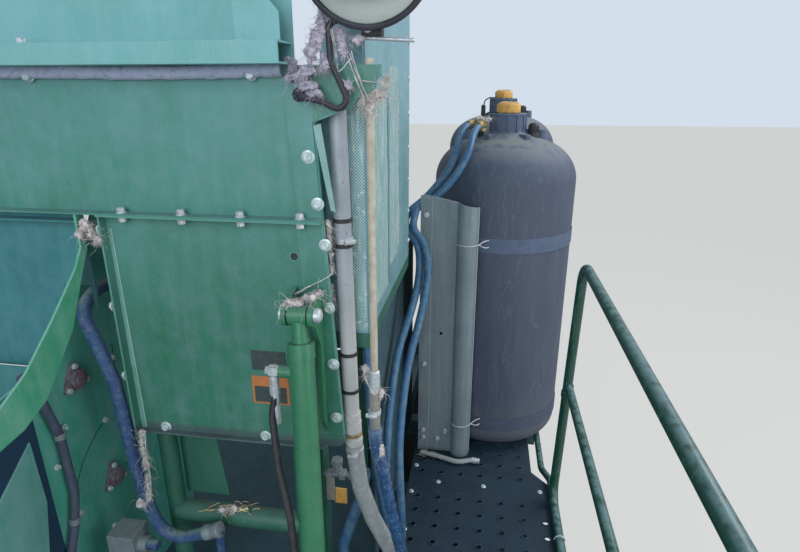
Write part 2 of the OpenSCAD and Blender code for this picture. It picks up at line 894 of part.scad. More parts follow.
module suction_hose() {
    e = block_low + [98, 35, 105];
    drop = [-430, -30];
    color(hose_blue) {
        tube([[side_x + touch, 300, 1010], [-738, 300, 1010],
              [-740, 60, 1008], [-731, -20, 985], [-700, -20, 889],
              [-671, -20, 785], [-647, -30, 530], [-627, -30, 400],
              [-600, -30, 318], [-536, -30, 313], [-455, -30, 345]],
             60, suction_d);
        // Coupling at its end, with the pipe that drops to the pan
        bar([-469, -30, 339.5], [-425, -30, 357], suction_d + 8);
        bar([drop[0], drop[1], cross_top + pan_t + touch],
            [drop[0], drop[1], 352], 24);
        // Branch from the steel block
        bar(e + [touch, 0, 0], e + [30, 0, 0], 30);
    }
}

module side_hose() {
    x = side_x + side_hose_d / 2 + 6;
    color(black) {
        bar([side_x + touch, 80, 900], [x + 8, 80, 900], side_hose_d + 8);
        tube([[x, 80, 900], [x, -20, 850], [x, -112, 690], [x, -96, 560],
              [x, -150, 343], [x, -180, 120],
              [x, -180, cross_top + pan_t + touch]], 90, side_hose_d);
    }
}

pipe_top = [-76, 46, 1560];
pipe_low = [-64, 46, 720];
pipe_bend_z = 1500;
pipe_dir = unit(pipe_low - pipe_top);

module air_pipe() {
    corner = pipe_low + (pipe_top - pipe_low)
        * (pipe_bend_z - pipe_low[2]) / (pipe_top[2] - pipe_low[2]);
    wall = right_high + 2 + touch;
    color([0.70, 0.72, 0.72])
        tube([[wall, corner[1], pipe_bend_z], corner, pipe_low], 30,
             air_pipe_d, 16);
}

module air_hose() {
    color([0.55, 0.58, 0.52])
        tube([pipe_low + pipe_dir * touch, pipe_low + pipe_dir * 70,
              [-58, 56, 560], [-50, 62, 470], [-24, 86, 350], [22, 130, 190],
              [44, 190, 60], [44, 190, manifold_top + touch]],
             110, air_hose_d, 12);
}

module pipe_clamps() {
    color(steel) {
        for (z = [1219, 1160, 883, 780])
            translate([pipe_low[0] + (pipe_top[0] - pipe_low[0])
                           * (z - pipe_low[2]) / (pipe_top[2] - pipe_low[2]),
                       46, z])
                difference() {
                    cylinder(h = 14, d = air_pipe_d + 10, center = true);
                    cylinder(h = 16, d = air_pipe_d + 1, center = true);
                }
    }
}

line_y = line_d / 2 + 0.4;

module thin_line() {
    color([0.72, 0.60, 0.45]) {
        bar([5, line_y, 1560], [5, line_y, 830], line_d);
        bar([5, line_y, 846], [5, line_y, 800], line_d + 10);
        bar([5, line_y, 800], [5, line_y, 700], line_d + 8);
    }
}

module wrapped_hose() {
    color(hose_blue) {
        tube([[5, line_y, 699.7], [5, line_y, 660], [22, 30, 540], [38, 60, 380],
              [68, 110, 160], [72, 116, 20], [72, 116, manifold_top + touch]],
             130, wrapped_d, 12);
        // Thinner hose that comes down beside the air pipe
        tube([[-32, 110, sill_z - touch], [-32, 110, 800], [-26, 120, 600],
              [-12, 156, 380], [-6, 204, 200], [-12, 226, 60],
              [-12, 226, manifold_top + touch]], 90, tank_hose_d - 2);
    }
}

// Fittings on the rear tank's shoulder that the two hoses leave
function tank_ports() = [[tank_x - 140, tank_y - 50],
                         [tank_x - 100, tank_y - 88]];
port_z = tank_neck_z + 10;

// Heights of the hoses' upper corners, from the fittings down, as shares of
// the way to the foot of the shoulder
function from_port(share) = port_z - share * (shoulder_h + 10);

module tank_hoses() {
    a = tank_ports()[0];
    b = tank_ports()[1];
    top = [a[0], a[1], port_z + 27];
    side = [b[0], b[1], port_z + 25];
    color(hose_blue) {
        for (p = [a, b])
            bar([p[0], p[1], port_z + touch], [p[0], p[1], port_z + 40], 26);
        tube([top, top - [44, 60, 6], [128, 1016, from_port(0.58)],
              [30, 978, from_port(1.24)], [-44, 900, from_port(1.49)],
              [-45, 868, from_port(1.76)], [12, 848, from_port(2.03)],
              [23, 800, 840], [6, 700, 737], [-26, 600, 640], [-30, 480, 560],
              [-26, 330, 430], [-10, 262, 200], [-10, 262, 60],
              [-10, 262, manifold_top + touch]], 45, tank_hose_d, 8);
        tube([side, side - [32, 46, 4], [180, 960, from_port(0.48)],
              [78, 946, from_port(1.2)], [-2, 915, from_port(1.37)],
              [-8, 876, from_port(1.48)], [-16, 856, from_port(1.76)],
              [39, 838, from_port(2.01)],
              [58, 790, 845], [38, 680, 708], [12, 580, 600], [8, 450, 500],
              [14, 320, 400], [34, 262, 200], [34, 262, 60],
              [34, 262, manifold_top + touch]], 45, tank_hose_d, 8);
    }
}

// Tanks

spigot_d = cap_d - 16;
spigot_h = 14;

// Tank at y whose foot stands lift over the deck
module tank(y, lift) {
    r = tank_d / 2;
    neck_r = neck_d / 2;
    color(tank_grey) {
        translate([tank_x, y, touch])
            cylinder(h = tank_pad + lift - touch, r = r - foot_r - 10);
        translate([tank_x, y, lift]) {
            translate([0, 0, tank_pad]) rotate_extrude() polygon(concat(
                [[0, 0], [r - foot_r, 0]],
                [for (a = [-75:15:0])
                    [r - foot_r + foot_r * cos(a), foot_r + foot_r * sin(a)]],
                [for (a = [0:10:70])
                    [r - 190 + 190 * cos(a),
                     tank_wall_h - tank_pad + 165 * sin(a)]],
                [[neck_r + 6, tank_neck_z - tank_pad],
                 [neck_r, tank_neck_z - tank_pad + 6],
                 [neck_r, tank_neck_z - tank_pad + neck_h],
                 [0, tank_neck_z - tank_pad + neck_h]]));
            for (k = [0:11]) rotate([0, 0, 30 * k])
                translate([neck_r - 2, -5, tank_neck_z + 4])
                    cube([7, 10, neck_h - 16]);
            // Spigot that the cap screws on, and the bosses of the hoses
            translate([0, 0, tank_neck_z + neck_h - 1])
                cylinder(h = spigot_h + 1, d = spigot_d);
            for (p = tank_ports())
                translate([p[0] - tank_x, p[1] - tank_y, port_z - 80])
                    cylinder(h = 80, d = 40);
        }
    }
}

module tank_rear() {
    tank(tank_y, 0);
}

module tank_front() {
    tank(tank_y + tank_pitch, tank_step);
}

// Cap of the tank at y whose foot stands lift over the deck
module cap(y, lift) {
    z = tank_neck_z + neck_h + lift + touch;
    color([0.88, 0.62, 0.20])
        translate([tank_x, y, z]) difference() {
            union() {
                cylinder(h = cap_h, d = cap_d, $fn = 8);
                translate([0, 0, cap_h])
                    cylinder(h = 10, d1 = cap_d - 10, d2 = cap_d - 44);
            }
            translate([0, 0, -1])
                cylinder(h = spigot_h + 3, d = spigot_d + 2);
        }
}

module cap_rear() {
    cap(tank_y, 0);
}

module cap_front() {
    cap(tank_y + tank_pitch, tank_step);
}

module tank_straps() {
    color(tank_grey)
        for (at = [[tank_y, 0], [tank_y + tank_pitch, tank_step]],
             z = [strap_high_z, strap_low_z])
            translate([tank_x, at[0], z + at[1] - strap_h / 2]) difference() {
                cylinder(h = strap_h, d = tank_d + 2 * strap_t + 2 * touch);
                translate([0, 0, -1])
                    cylinder(h = strap_h + 2, d = tank_d + 2 * touch);
                translate([-tank_d, -tank_d / 2 - 20, -1])
                    cube([tank_d - 128, tank_d + 40, strap_h + 2]);
            }
}

module tank_cradle() {
    y0 = 898;
    left = 12;
    web_end = 152;
    lip_r = 40;
    wing = 5;
    length = tank_y + tank_pitch + 180 - y0;
    color(grey_sheet) {
        difference() {
            linear_extrude(cradle_h + 40) union() {
                translate([left, y0])
                    square([web_end - left + 1, cradle_t]);
                // Lip rolled to a half round that bulges rearward
                translate([web_end + lip_r, y0 + cradle_t])
                    difference() {
                        circle(r = lip_r);
                        circle(r = lip_r - cradle_t);
                        translate([-lip_r - 1, 0])
                            square([2 * lip_r + 2, lip_r + 1]);
                    }
            }
            // Top cut that drops from the side wall to the lip
            translate([left + 30, y0 - 60, cradle_h + 40])
                rotate([0, 12, 0]) cube([400, 120, 200]);
            translate([100, y0 - 1, 560]) rotate([-90, 0, 0])
                cylinder(h = cradle_t + 2, r = 7);
        }
        translate([left, y0 + cradle_t, 0])
            cube([cradle_t, length, cradle_h - 45]);
        translate([left, y0 - wing, 0]) cube([44, wing, cradle_h + 30]);
        // Cross web between the two tanks
        translate([left + cradle_t, tank_y + tank_pitch / 2 - 2, 0])
            cube([120, cradle_t, cradle_h]);
    }
}

module drain_hose() {
    z = grip_rim_h + touch + 13;
    color([0.45, 0.45, 0.45]) {
        tube([[30, 852, z], [100, 836, z], [190, 806, z], [250, 829, z]],
             60, 20);
        bar([246, 829, z], [282, 826, z], 26);
    }
}

// Mirror

mirror_at = [17, -70, 1731];

module mirror_shell() {
    r = mirror_d / 2;
    color(black)
        translate(mirror_at) rotate([90 + 12, 0, 0]) difference() {
            rotate_extrude() polygon(concat(
                [[0, -mirror_depth]],
                [for (a = [15:15:75])
                    [r * sin(a), -mirror_depth * cos(a)]],
                [[r, 0], [r, 10], [r - 8, 12], [0, 12]]));
            translate([0, 0, 2]) cylinder(h = 11, r = r - 10);
        }
}

module mirror_glass() {
    r = mirror_d / 2 - 10.3;
    color([0.75, 0.80, 0.85])
        translate(mirror_at) rotate([90 + 12, 0, 0])
            rotate_extrude() polygon(concat(
                [[0, 2.3], [r, 2.3], [r, 7]],
                [for (a = [4:4:16]) [r * (1 - a / 16), 7 + 9 * sin(a * 90 / 16)]]));
}

module mirror_arm() {
    color(black)
        tube([mirror_at + [0, 45.3, 9.6], mirror_at + [0, 84, 16],
              [17, 14, 1650], [-66, -30, 1618], [-63, -30, 1555],
              [-25, -30, 1470], [-100, -30, 1486], [-140, -30, 1490],
              [-140, -sheet_t - touch, 1490]], 20, mirror_arm_d);
}

module place() {
    translate([mount_reach, -mount_y, -rail_mid_z]) children();
}

place() chassis_rails();
place() cross_members();
place() belly_pan();
place() deck_plate();
place() deck_frame();
place() hand_rail();
place() lower_panel();
place() upper_panel();
place() ledge();
place() top_panel();
place() left_panel();
place() side_plate();
place() side_guard();
place() brace();
place() screen_wall();
place() corner_post();
place() cylinder_bracket();
place() cylinder_pins();
place() cylinder_barrel();
place() cylinder_rod();
place() cylinder_base();
place() cylinder_hose();
place() bearing_flanges();
place() shaft_high();
place() shaft_low();
place() tube_frame();
place() valve_blocks();
place() suction_hose();
place() side_hose();
place() air_pipe();
place() air_hose();
place() pipe_clamps();
place() thin_line();
place() wrapped_hose();
place() tank_hoses();
place() tank_rear();
place() tank_front();
place() tank_straps();
place() tank_cradle();
place() drain_hose();
place() cap_rear();
place() cap_front();
place() mirror_shell();
place() mirror_glass();
place() mirror_arm();
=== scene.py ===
"""Dresses the side service section of a cotton picker: its deck, tanks, hand rail, housing,
lift cylinder, pipes and hoses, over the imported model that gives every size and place.

Sizes and places are millimetres of the deck, where X = 0 is the deck's inboard edge, Y = 0
the housing's rear panels and Z = 0 the deck's top face. What place() gives, and every middle
line, is in metres of the shared frame.
"""

from __future__ import annotations

import logging
import math
import random
from dataclasses import dataclass
from enum import Enum
from functools import partial
from typing import Any, Callable, Iterable, Sequence

import bpy
from mathutils import Matrix, Vector

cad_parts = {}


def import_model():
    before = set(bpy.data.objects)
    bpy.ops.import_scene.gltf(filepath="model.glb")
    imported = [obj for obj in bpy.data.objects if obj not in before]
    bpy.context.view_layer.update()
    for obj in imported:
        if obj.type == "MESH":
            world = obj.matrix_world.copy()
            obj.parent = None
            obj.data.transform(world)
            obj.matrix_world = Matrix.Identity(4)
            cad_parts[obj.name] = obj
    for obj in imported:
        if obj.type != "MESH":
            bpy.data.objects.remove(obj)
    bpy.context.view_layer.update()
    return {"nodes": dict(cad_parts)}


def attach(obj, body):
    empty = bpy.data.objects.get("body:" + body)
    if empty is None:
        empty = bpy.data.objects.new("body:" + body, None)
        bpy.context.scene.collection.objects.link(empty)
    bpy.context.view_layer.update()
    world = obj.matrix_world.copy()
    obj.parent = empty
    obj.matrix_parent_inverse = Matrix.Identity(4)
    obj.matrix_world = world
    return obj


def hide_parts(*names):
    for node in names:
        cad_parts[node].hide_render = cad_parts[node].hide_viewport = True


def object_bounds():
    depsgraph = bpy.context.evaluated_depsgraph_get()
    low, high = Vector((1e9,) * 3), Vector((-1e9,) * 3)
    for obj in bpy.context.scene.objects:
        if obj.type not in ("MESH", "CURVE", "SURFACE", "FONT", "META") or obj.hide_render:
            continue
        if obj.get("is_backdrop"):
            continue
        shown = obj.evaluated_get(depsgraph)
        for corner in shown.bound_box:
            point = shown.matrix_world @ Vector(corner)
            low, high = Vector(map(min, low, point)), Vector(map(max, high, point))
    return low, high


log = logging.getLogger("service_section")

MM = 0.001
DECK_ORIGIN = Vector((1040.0, -450.0, 186.0))
UP = Vector((0.0, 0.0, 1.0))
AHEAD = Vector((0.0, 1.0, 0.0))
BACK = Vector((0.0, -1.0, 0.0))
OUT = Vector((1.0, 0.0, 0.0))
CENTRE = Vector((0.0, 0.0, 0.0))

EDGE_SAMPLES = 4
DUSTY_ROUGHNESS = 0.85
COAT_ROUGHNESS = 0.2
SENSOR_WIDTH = 36.0

Point = tuple[float, float, float]
Tree = bpy.types.NodeTree
Socket = bpy.types.NodeSocket
Piece = bpy.types.Object


def place(x: float, y: float, z: float) -> Vector:
    """Gives a point of the row's frame, in metres, from the deck's millimetres."""
    return (Vector((x, y, z)) + DECK_ORIGIN) * MM


def linear(code: str, alpha: float = 1.0) -> tuple[float, float, float, float]:
    """Turns an sRGB hex code into linear colour.

    Args:
        code: Six hex digits with a leading hash.
        alpha: Opacity that goes with the colour.

    Returns:
        Red, green, blue and alpha.
    """
    parts = [int(code[i:i + 2], 16) / 255 for i in (1, 3, 5)]
    low = [c / 12.92 if c <= 0.04045 else ((c + 0.055) / 1.055) ** 2.4 for c in parts]
    return (low[0], low[1], low[2], alpha)


def add(tree: Tree, kind: str, inputs: dict[Any, Any] | None = None,
        **settings: Any) -> bpy.types.Node:
    """Adds one node with its settings, values and links.

    Args:
        tree: Node tree that the node goes into.
        kind: Blender's name for the kind of node, without its first word.
        inputs: Value or linked socket for each input, by name or number.
        settings: Attributes of the node itself.

    Returns:
        The new node.
    """
    node = tree.nodes.new("ShaderNode" + kind)
    for key, value in settings.items():
        setattr(node, key, value)
    for key, value in (inputs or {}).items():
        if isinstance(value, bpy.types.NodeSocket):
            tree.links.new(value, node.inputs[key])
        else:
            node.inputs[key].default_value = value
    return node


def calc(tree: Tree, operation: str, *terms: Any, clamp: bool = False) -> Socket:
    """Adds one step of arithmetic.

    Args:
        tree: Node tree that it goes into.
        operation: Blender's name for the operation.
        terms: Its numbers or linked sockets, in order.
        clamp: Whether the result is kept between 0 and 1.

    Returns:
        Socket of the result.
    """
    return add(tree, "Math", dict(enumerate(terms)), operation=operation,
               use_clamp=clamp).outputs[0]


def ranged(tree: Tree, value: Socket, low: float, high: float, start: float = 0.0,
           end: float = 1.0) -> Socket:
    """Stretches a value from one range to another and holds it there.

    Args:
        tree: Node tree that it goes into.
        value: Socket that is stretched.
        low: Value that gives the start.
        high: Value that gives the end.
        start: Result at the low value.
        end: Result at the high value.

    Returns:
        Socket of the result.
    """
    return add(tree, "MapRange", {"Value": value, "From Min": low, "From Max": high,
                                  "To Min": start, "To Max": end}).outputs[0]


def noise(tree: Tree, spot: Socket, scale: float, detail: float, **more: float) -> Socket:
    """Adds a cloudy noise.

    Args:
        tree: Node tree that it goes into.
        spot: Coordinates in metres.
        scale: Features for each metre.
        detail: Steps of finer noise in it.
        more: Values of its other inputs.

    Returns:
        Socket of the noise, about 0.5 on average.
    """
    return add(tree, "TexNoise", {"Vector": spot, "Scale": scale, "Detail": detail}
               | more).outputs[0]


class Pattern(Enum):
    """Ways in which a layer of wear or dirt is laid over a finish."""

    CLOUD = "soft patches"
    STREAK = "runs down the sheet"
    BRUSHED = "fine lines along the length"
    SPECK = "small round specks"
    SCRATCH = "thin scratches"
    EDGE = "worn edges"
    LYING = "dust on faces that look up"
    ABOVE = "more of it towards a height"
    BELOW = "more of it towards the foot"
    MESH = "wires of a woven screen"


# How far a pattern's noise is squeezed along the height, which draws its features out
STRETCH = {Pattern.STREAK: 0.09, Pattern.SCRATCH: 0.14, Pattern.BRUSHED: 0.02}


@dataclass(frozen=True)
class Layer:
    """One colour laid over a finish in a pattern.

    Attributes:
        pattern: How the layer is laid.
        color: sRGB hex of the layer.
        size: Size of the pattern's features in millimetres, or the middle height.
        cover: Share of the surface that the layer takes, 0 to 1.
        amount: Strength of the layer where it is full.
        soft: Width of the change from bare to full.
    """

    pattern: Pattern
    color: str
    size: float = 40.0
    cover: float = 0.5
    amount: float = 1.0
    soft: float = 0.1


@dataclass(frozen=True)
class Mask:
    """Share that one layer takes at each place of a material.

    Attributes:
        layer: Layer that the mask is for.
        tree: Node tree of the material.
        spot: Object coordinates in metres.
    """

    layer: Layer
    tree: Tree
    spot: Socket

    def full(self) -> Socket:
        """Makes the mask.

        Returns:
            Socket that is 1 where the layer is full and 0 where it is bare.
        """
        makers = {Pattern.ABOVE: self.by_height, Pattern.BELOW: self.by_height,
                  Pattern.LYING: self.lying, Pattern.EDGE: self.on_edges,
                  Pattern.MESH: self.wires, Pattern.SPECK: self.specks,
                  Pattern.SCRATCH: self.scratches}
        made = makers.get(self.layer.pattern, self.clouds)()
        return calc(self.tree, "MULTIPLY", made, self.layer.amount, clamp=True)

    def scale(self) -> float:
        """Features of the pattern for each metre."""
        return 1 / (self.layer.size * MM)

    def by_height(self) -> Socket:
        """Grades the layer by height, in soft patches that thin it by up to two fifths.

        Returns:
            Socket of the pattern.
        """
        layer = self.layer
        height = add(self.tree, "SeparateXYZ", {0: self.spot}).outputs["Z"]
        ends = (0.0, 1.0) if layer.pattern is Pattern.ABOVE else (1.0, 0.0)
        graded = ranged(self.tree, height, (layer.size - layer.soft) * MM,
                        (layer.size + layer.soft) * MM, *ends)
        patches = ranged(self.tree, noise(self.tree, self.spot, 6.0, 4.0), 0.3, 0.7, 0.6)
        return calc(self.tree, "MULTIPLY", graded, patches)

    def lying(self) -> Socket:
        """Lays patches on the faces that look up.

        Returns:
            Socket of the pattern.
        """
        tree, cover = self.tree, self.layer.cover
        normal = add(tree, "NewGeometry").outputs["Normal"]
        height = add(tree, "SeparateXYZ", {0: normal}).outputs["Z"]
        patches = ranged(tree, noise(tree, self.spot, self.scale(), 5.0),
                         0.62 - cover * 0.45, 0.72 - cover * 0.3)
        return calc(tree, "MULTIPLY", ranged(tree, height, 0.55, 0.95), patches)

    def on_edges(self) -> Socket:
        """Wears the edges, where the rounded normal leaves the flat one.

        Returns:
            Socket of the pattern.
        """
        tree = self.tree
        flat = add(tree, "NewGeometry").outputs["Normal"]
        turned = add(tree, "Bevel", {"Radius": self.layer.size * MM},
                     samples=EDGE_SAMPLES).outputs["Normal"]
        apart = add(tree, "VectorMath", {0: flat, 1: turned},
                    operation="DOT_PRODUCT").outputs["Value"]
        uneven = calc(tree, "MULTIPLY_ADD", noise(tree, self.spot, 40.0, 4.0), 0.12, apart)
        return ranged(tree, uneven, 1.03, 0.93)

    def wires(self) -> Socket:
        """Draws two sets of slanting wires on the screen's plane.

        Returns:
            Socket of the pattern.
        """
        tree, split = self.tree, add(self.tree, "SeparateXYZ", {0: self.spot})
        across = calc(tree, "ADD", split.outputs["X"], split.outputs["Y"])
        lines = []
        for slant in (-1.0, 1.0):
            along = calc(tree, "MULTIPLY_ADD", across, slant, split.outputs["Z"])
            wave = calc(tree, "MULTIPLY", along, self.scale() * 4.4)
            lines.append(calc(tree, "SINE", wave))
        return ranged(tree, calc(tree, "MAXIMUM", *lines), 0.55, 0.85)

    def specks(self) -> Socket:
        """Scatters small round specks.

        Returns:
            Socket of the pattern.
        """
        half = self.layer.soft / 2
        away = add(self.tree, "TexVoronoi", {
            "Vector": self.spot, "Scale": self.scale(),
            "Randomness": 1.0}).outputs["Distance"]
        return ranged(self.tree, away, self.layer.cover + half, self.layer.cover - half)

    def grown(self) -> Socket:
        """Makes the noise of patches, drawn out along the height where the pattern runs.

        Returns:
            Socket of the noise.
        """
        spot = self.spot
        if self.layer.pattern in STRETCH:
            spot = add(self.tree, "Mapping", {
                "Vector": spot, "Scale": (1.0, 1.0, STRETCH[self.layer.pattern])}).outputs[0]
        return noise(self.tree, spot, self.scale(), 6.0, Roughness=0.6)

    def scratches(self) -> Socket:
        """Draws thin lines where the noise crosses its middle."""
        apart = calc(self.tree, "ABSOLUTE", calc(self.tree, "SUBTRACT", self.grown(), 0.5))
        return ranged(self.tree, apart, self.layer.cover * 0.02, 0.0)

    def clouds(self) -> Socket:
        """Lays soft patches that take the layer's share of the surface."""
        middle, half = 0.72 - 0.44 * self.layer.cover, self.layer.soft / 2
        return ranged(self.tree, self.grown(), middle - half, middle + half)


cloud = partial(Layer, Pattern.CLOUD)
streak = partial(Layer, Pattern.STREAK)
brushed = partial(Layer, Pattern.BRUSHED)
speck = partial(Layer, Pattern.SPECK)
scratch = partial(Layer, Pattern.SCRATCH)
edge_wear = partial(Layer, Pattern.EDGE)
lying_dust = partial(Layer, Pattern.LYING)
above = partial(Layer, Pattern.ABOVE)
below = partial(Layer, Pattern.BELOW)
mesh = partial(Layer, Pattern.MESH)


@dataclass(frozen=True)
class Finish:
    """Surface of one real material, from its colour to its wear.

    Attributes:
        name: Common name of the material and how it was made.
        color: sRGB hex of the clean surface.
        layers: Wear and dirt over it, lowest first.
        roughness: Roughness of the clean surface.
        metallic: One for bare metal.
        grain: Size of the fine bumps in millimetres.
        grain_height: Height of the fine bumps in millimetres.
        wave: Size of the broad unevenness in millimetres.
        wave_height: Height of the broad unevenness in millimetres.
        rounding: Radius in millimetres that softens the look of sharp edges.
        coat: Clear gloss over the colour.
        ior: Index of refraction.
        sheen: Strength of the soft rim light of fibres.
    """

    name: str
    color: str
    layers: tuple[Layer, ...] = ()
    roughness: float = 0.5
    metallic: float = 0.0
    grain: float = 3.0
    grain_height: float = 0.05
    wave: float = 260.0
    wave_height: float = 0.0
    rounding: float = 0.0
    coat: float = 0.0
    ior: float = 1.5
    sheen: float = 0.0

    def build(self) -> bpy.types.Material:
        """Makes the material.

        Returns:
            The finished material.
        """
        material = bpy.data.materials.new(self.name.replace(" ", "_"))
        material.use_nodes = True
        material.diffuse_color = linear(self.color)
        tree = material.node_tree
        tree.nodes.clear()
        spot = add(tree, "TexCoord").outputs["Object"]
        color: Any = linear(self.color)
        rough: Any = self.roughness
        metal: Any = self.metallic
        for layer in self.layers:
            mask = Mask(layer, tree, spot).full()
            color = add(tree, "Mix", {0: mask, 6: color, 7: linear(layer.color)},
                        data_type="RGBA").outputs[2]
            rough = add(tree, "Mix", {0: mask, 2: rough, 3: DUSTY_ROUGHNESS}).outputs[0]
            if self.metallic:
                metal = add(tree, "Mix", {0: mask, 2: metal, 3: 0.0}).outputs[0]
        shader = add(tree, "BsdfPrincipled", {
            "Base Color": color, "Roughness": rough, "Metallic": metal,
            "Normal": self.surface(tree, spot), "IOR": self.ior, "Coat Weight": self.coat,
            "Coat Roughness": COAT_ROUGHNESS, "Sheen Weight": self.sheen})
        add(tree, "OutputMaterial", {"Surface": shader.outputs[0]})
        return material

    def surface(self, tree: Tree, spot: Socket) -> Socket:
        """Makes the fine grain, the broad waves and the softened edges.

        Args:
            tree: Node tree of the material.
            spot: Object coordinates in metres.

        Returns:
            Normal for the shader.
        """
        inputs: dict[str, Any] = {
            "Height": noise(tree, spot, 1 / (self.grain * MM), 3.0),
            "Distance": self.grain_height * MM, "Strength": 1.0}
        if self.rounding:
            inputs["Normal"] = add(tree, "Bevel", {"Radius": self.rounding * MM},
                                   samples=EDGE_SAMPLES).outputs[0]
        bumped = add(tree, "Bump", inputs).outputs[0]
        if self.wave_height:
            bumped = add(tree, "Bump", {
                "Height": noise(tree, spot, 1 / (self.wave * MM), 1.0),
                "Distance": self.wave_height * MM, "Strength": 1.0,
                "Normal": bumped}).outputs[0]
        return bumped


def enamel(name: str, color: str, faded: str, dust: str, **more: Any) -> Finish:
    """Gives the sprayed enamel of the machine's sheets, with a season's dust on it.

    Args:
        name: Name of the material.
        color: sRGB hex of the clean enamel.
        faded: sRGB hex of the chalked enamel.
        dust: sRGB hex of the dust.
        more: Other fields of the finish.

    Returns:
        The finish.
    """
    layers = more.pop("over", ())
    return Finish(name, color, (
        cloud(faded, 330, 0.62, 0.45, 0.35), streak(dust, 26, 0.4, 0.22, 0.3),
        cloud(dust, 46, 0.3, 0.3, 0.3), speck(dust, 13, 0.13, 0.45),
        scratch(faded, 55, 0.6, 0.55), lying_dust(dust, 30, 0.7, 0.6),
        edge_wear(faded, 1.6, 0.5, 0.75),
    ) + layers, **({"roughness": 0.42, "coat": 0.15, "grain": 1.8, "grain_height": 0.02,
                    "wave_height": 1.2, "wave": 240.0, "rounding": 1.4} | more))


# Painted light: paler and bluer towards the top, standing in for haze and sky light on the
# upper sheets
PAINTED_HAZE_LIGHT = above("#87B6C2", 1780, 0.5, 0.74, 560)

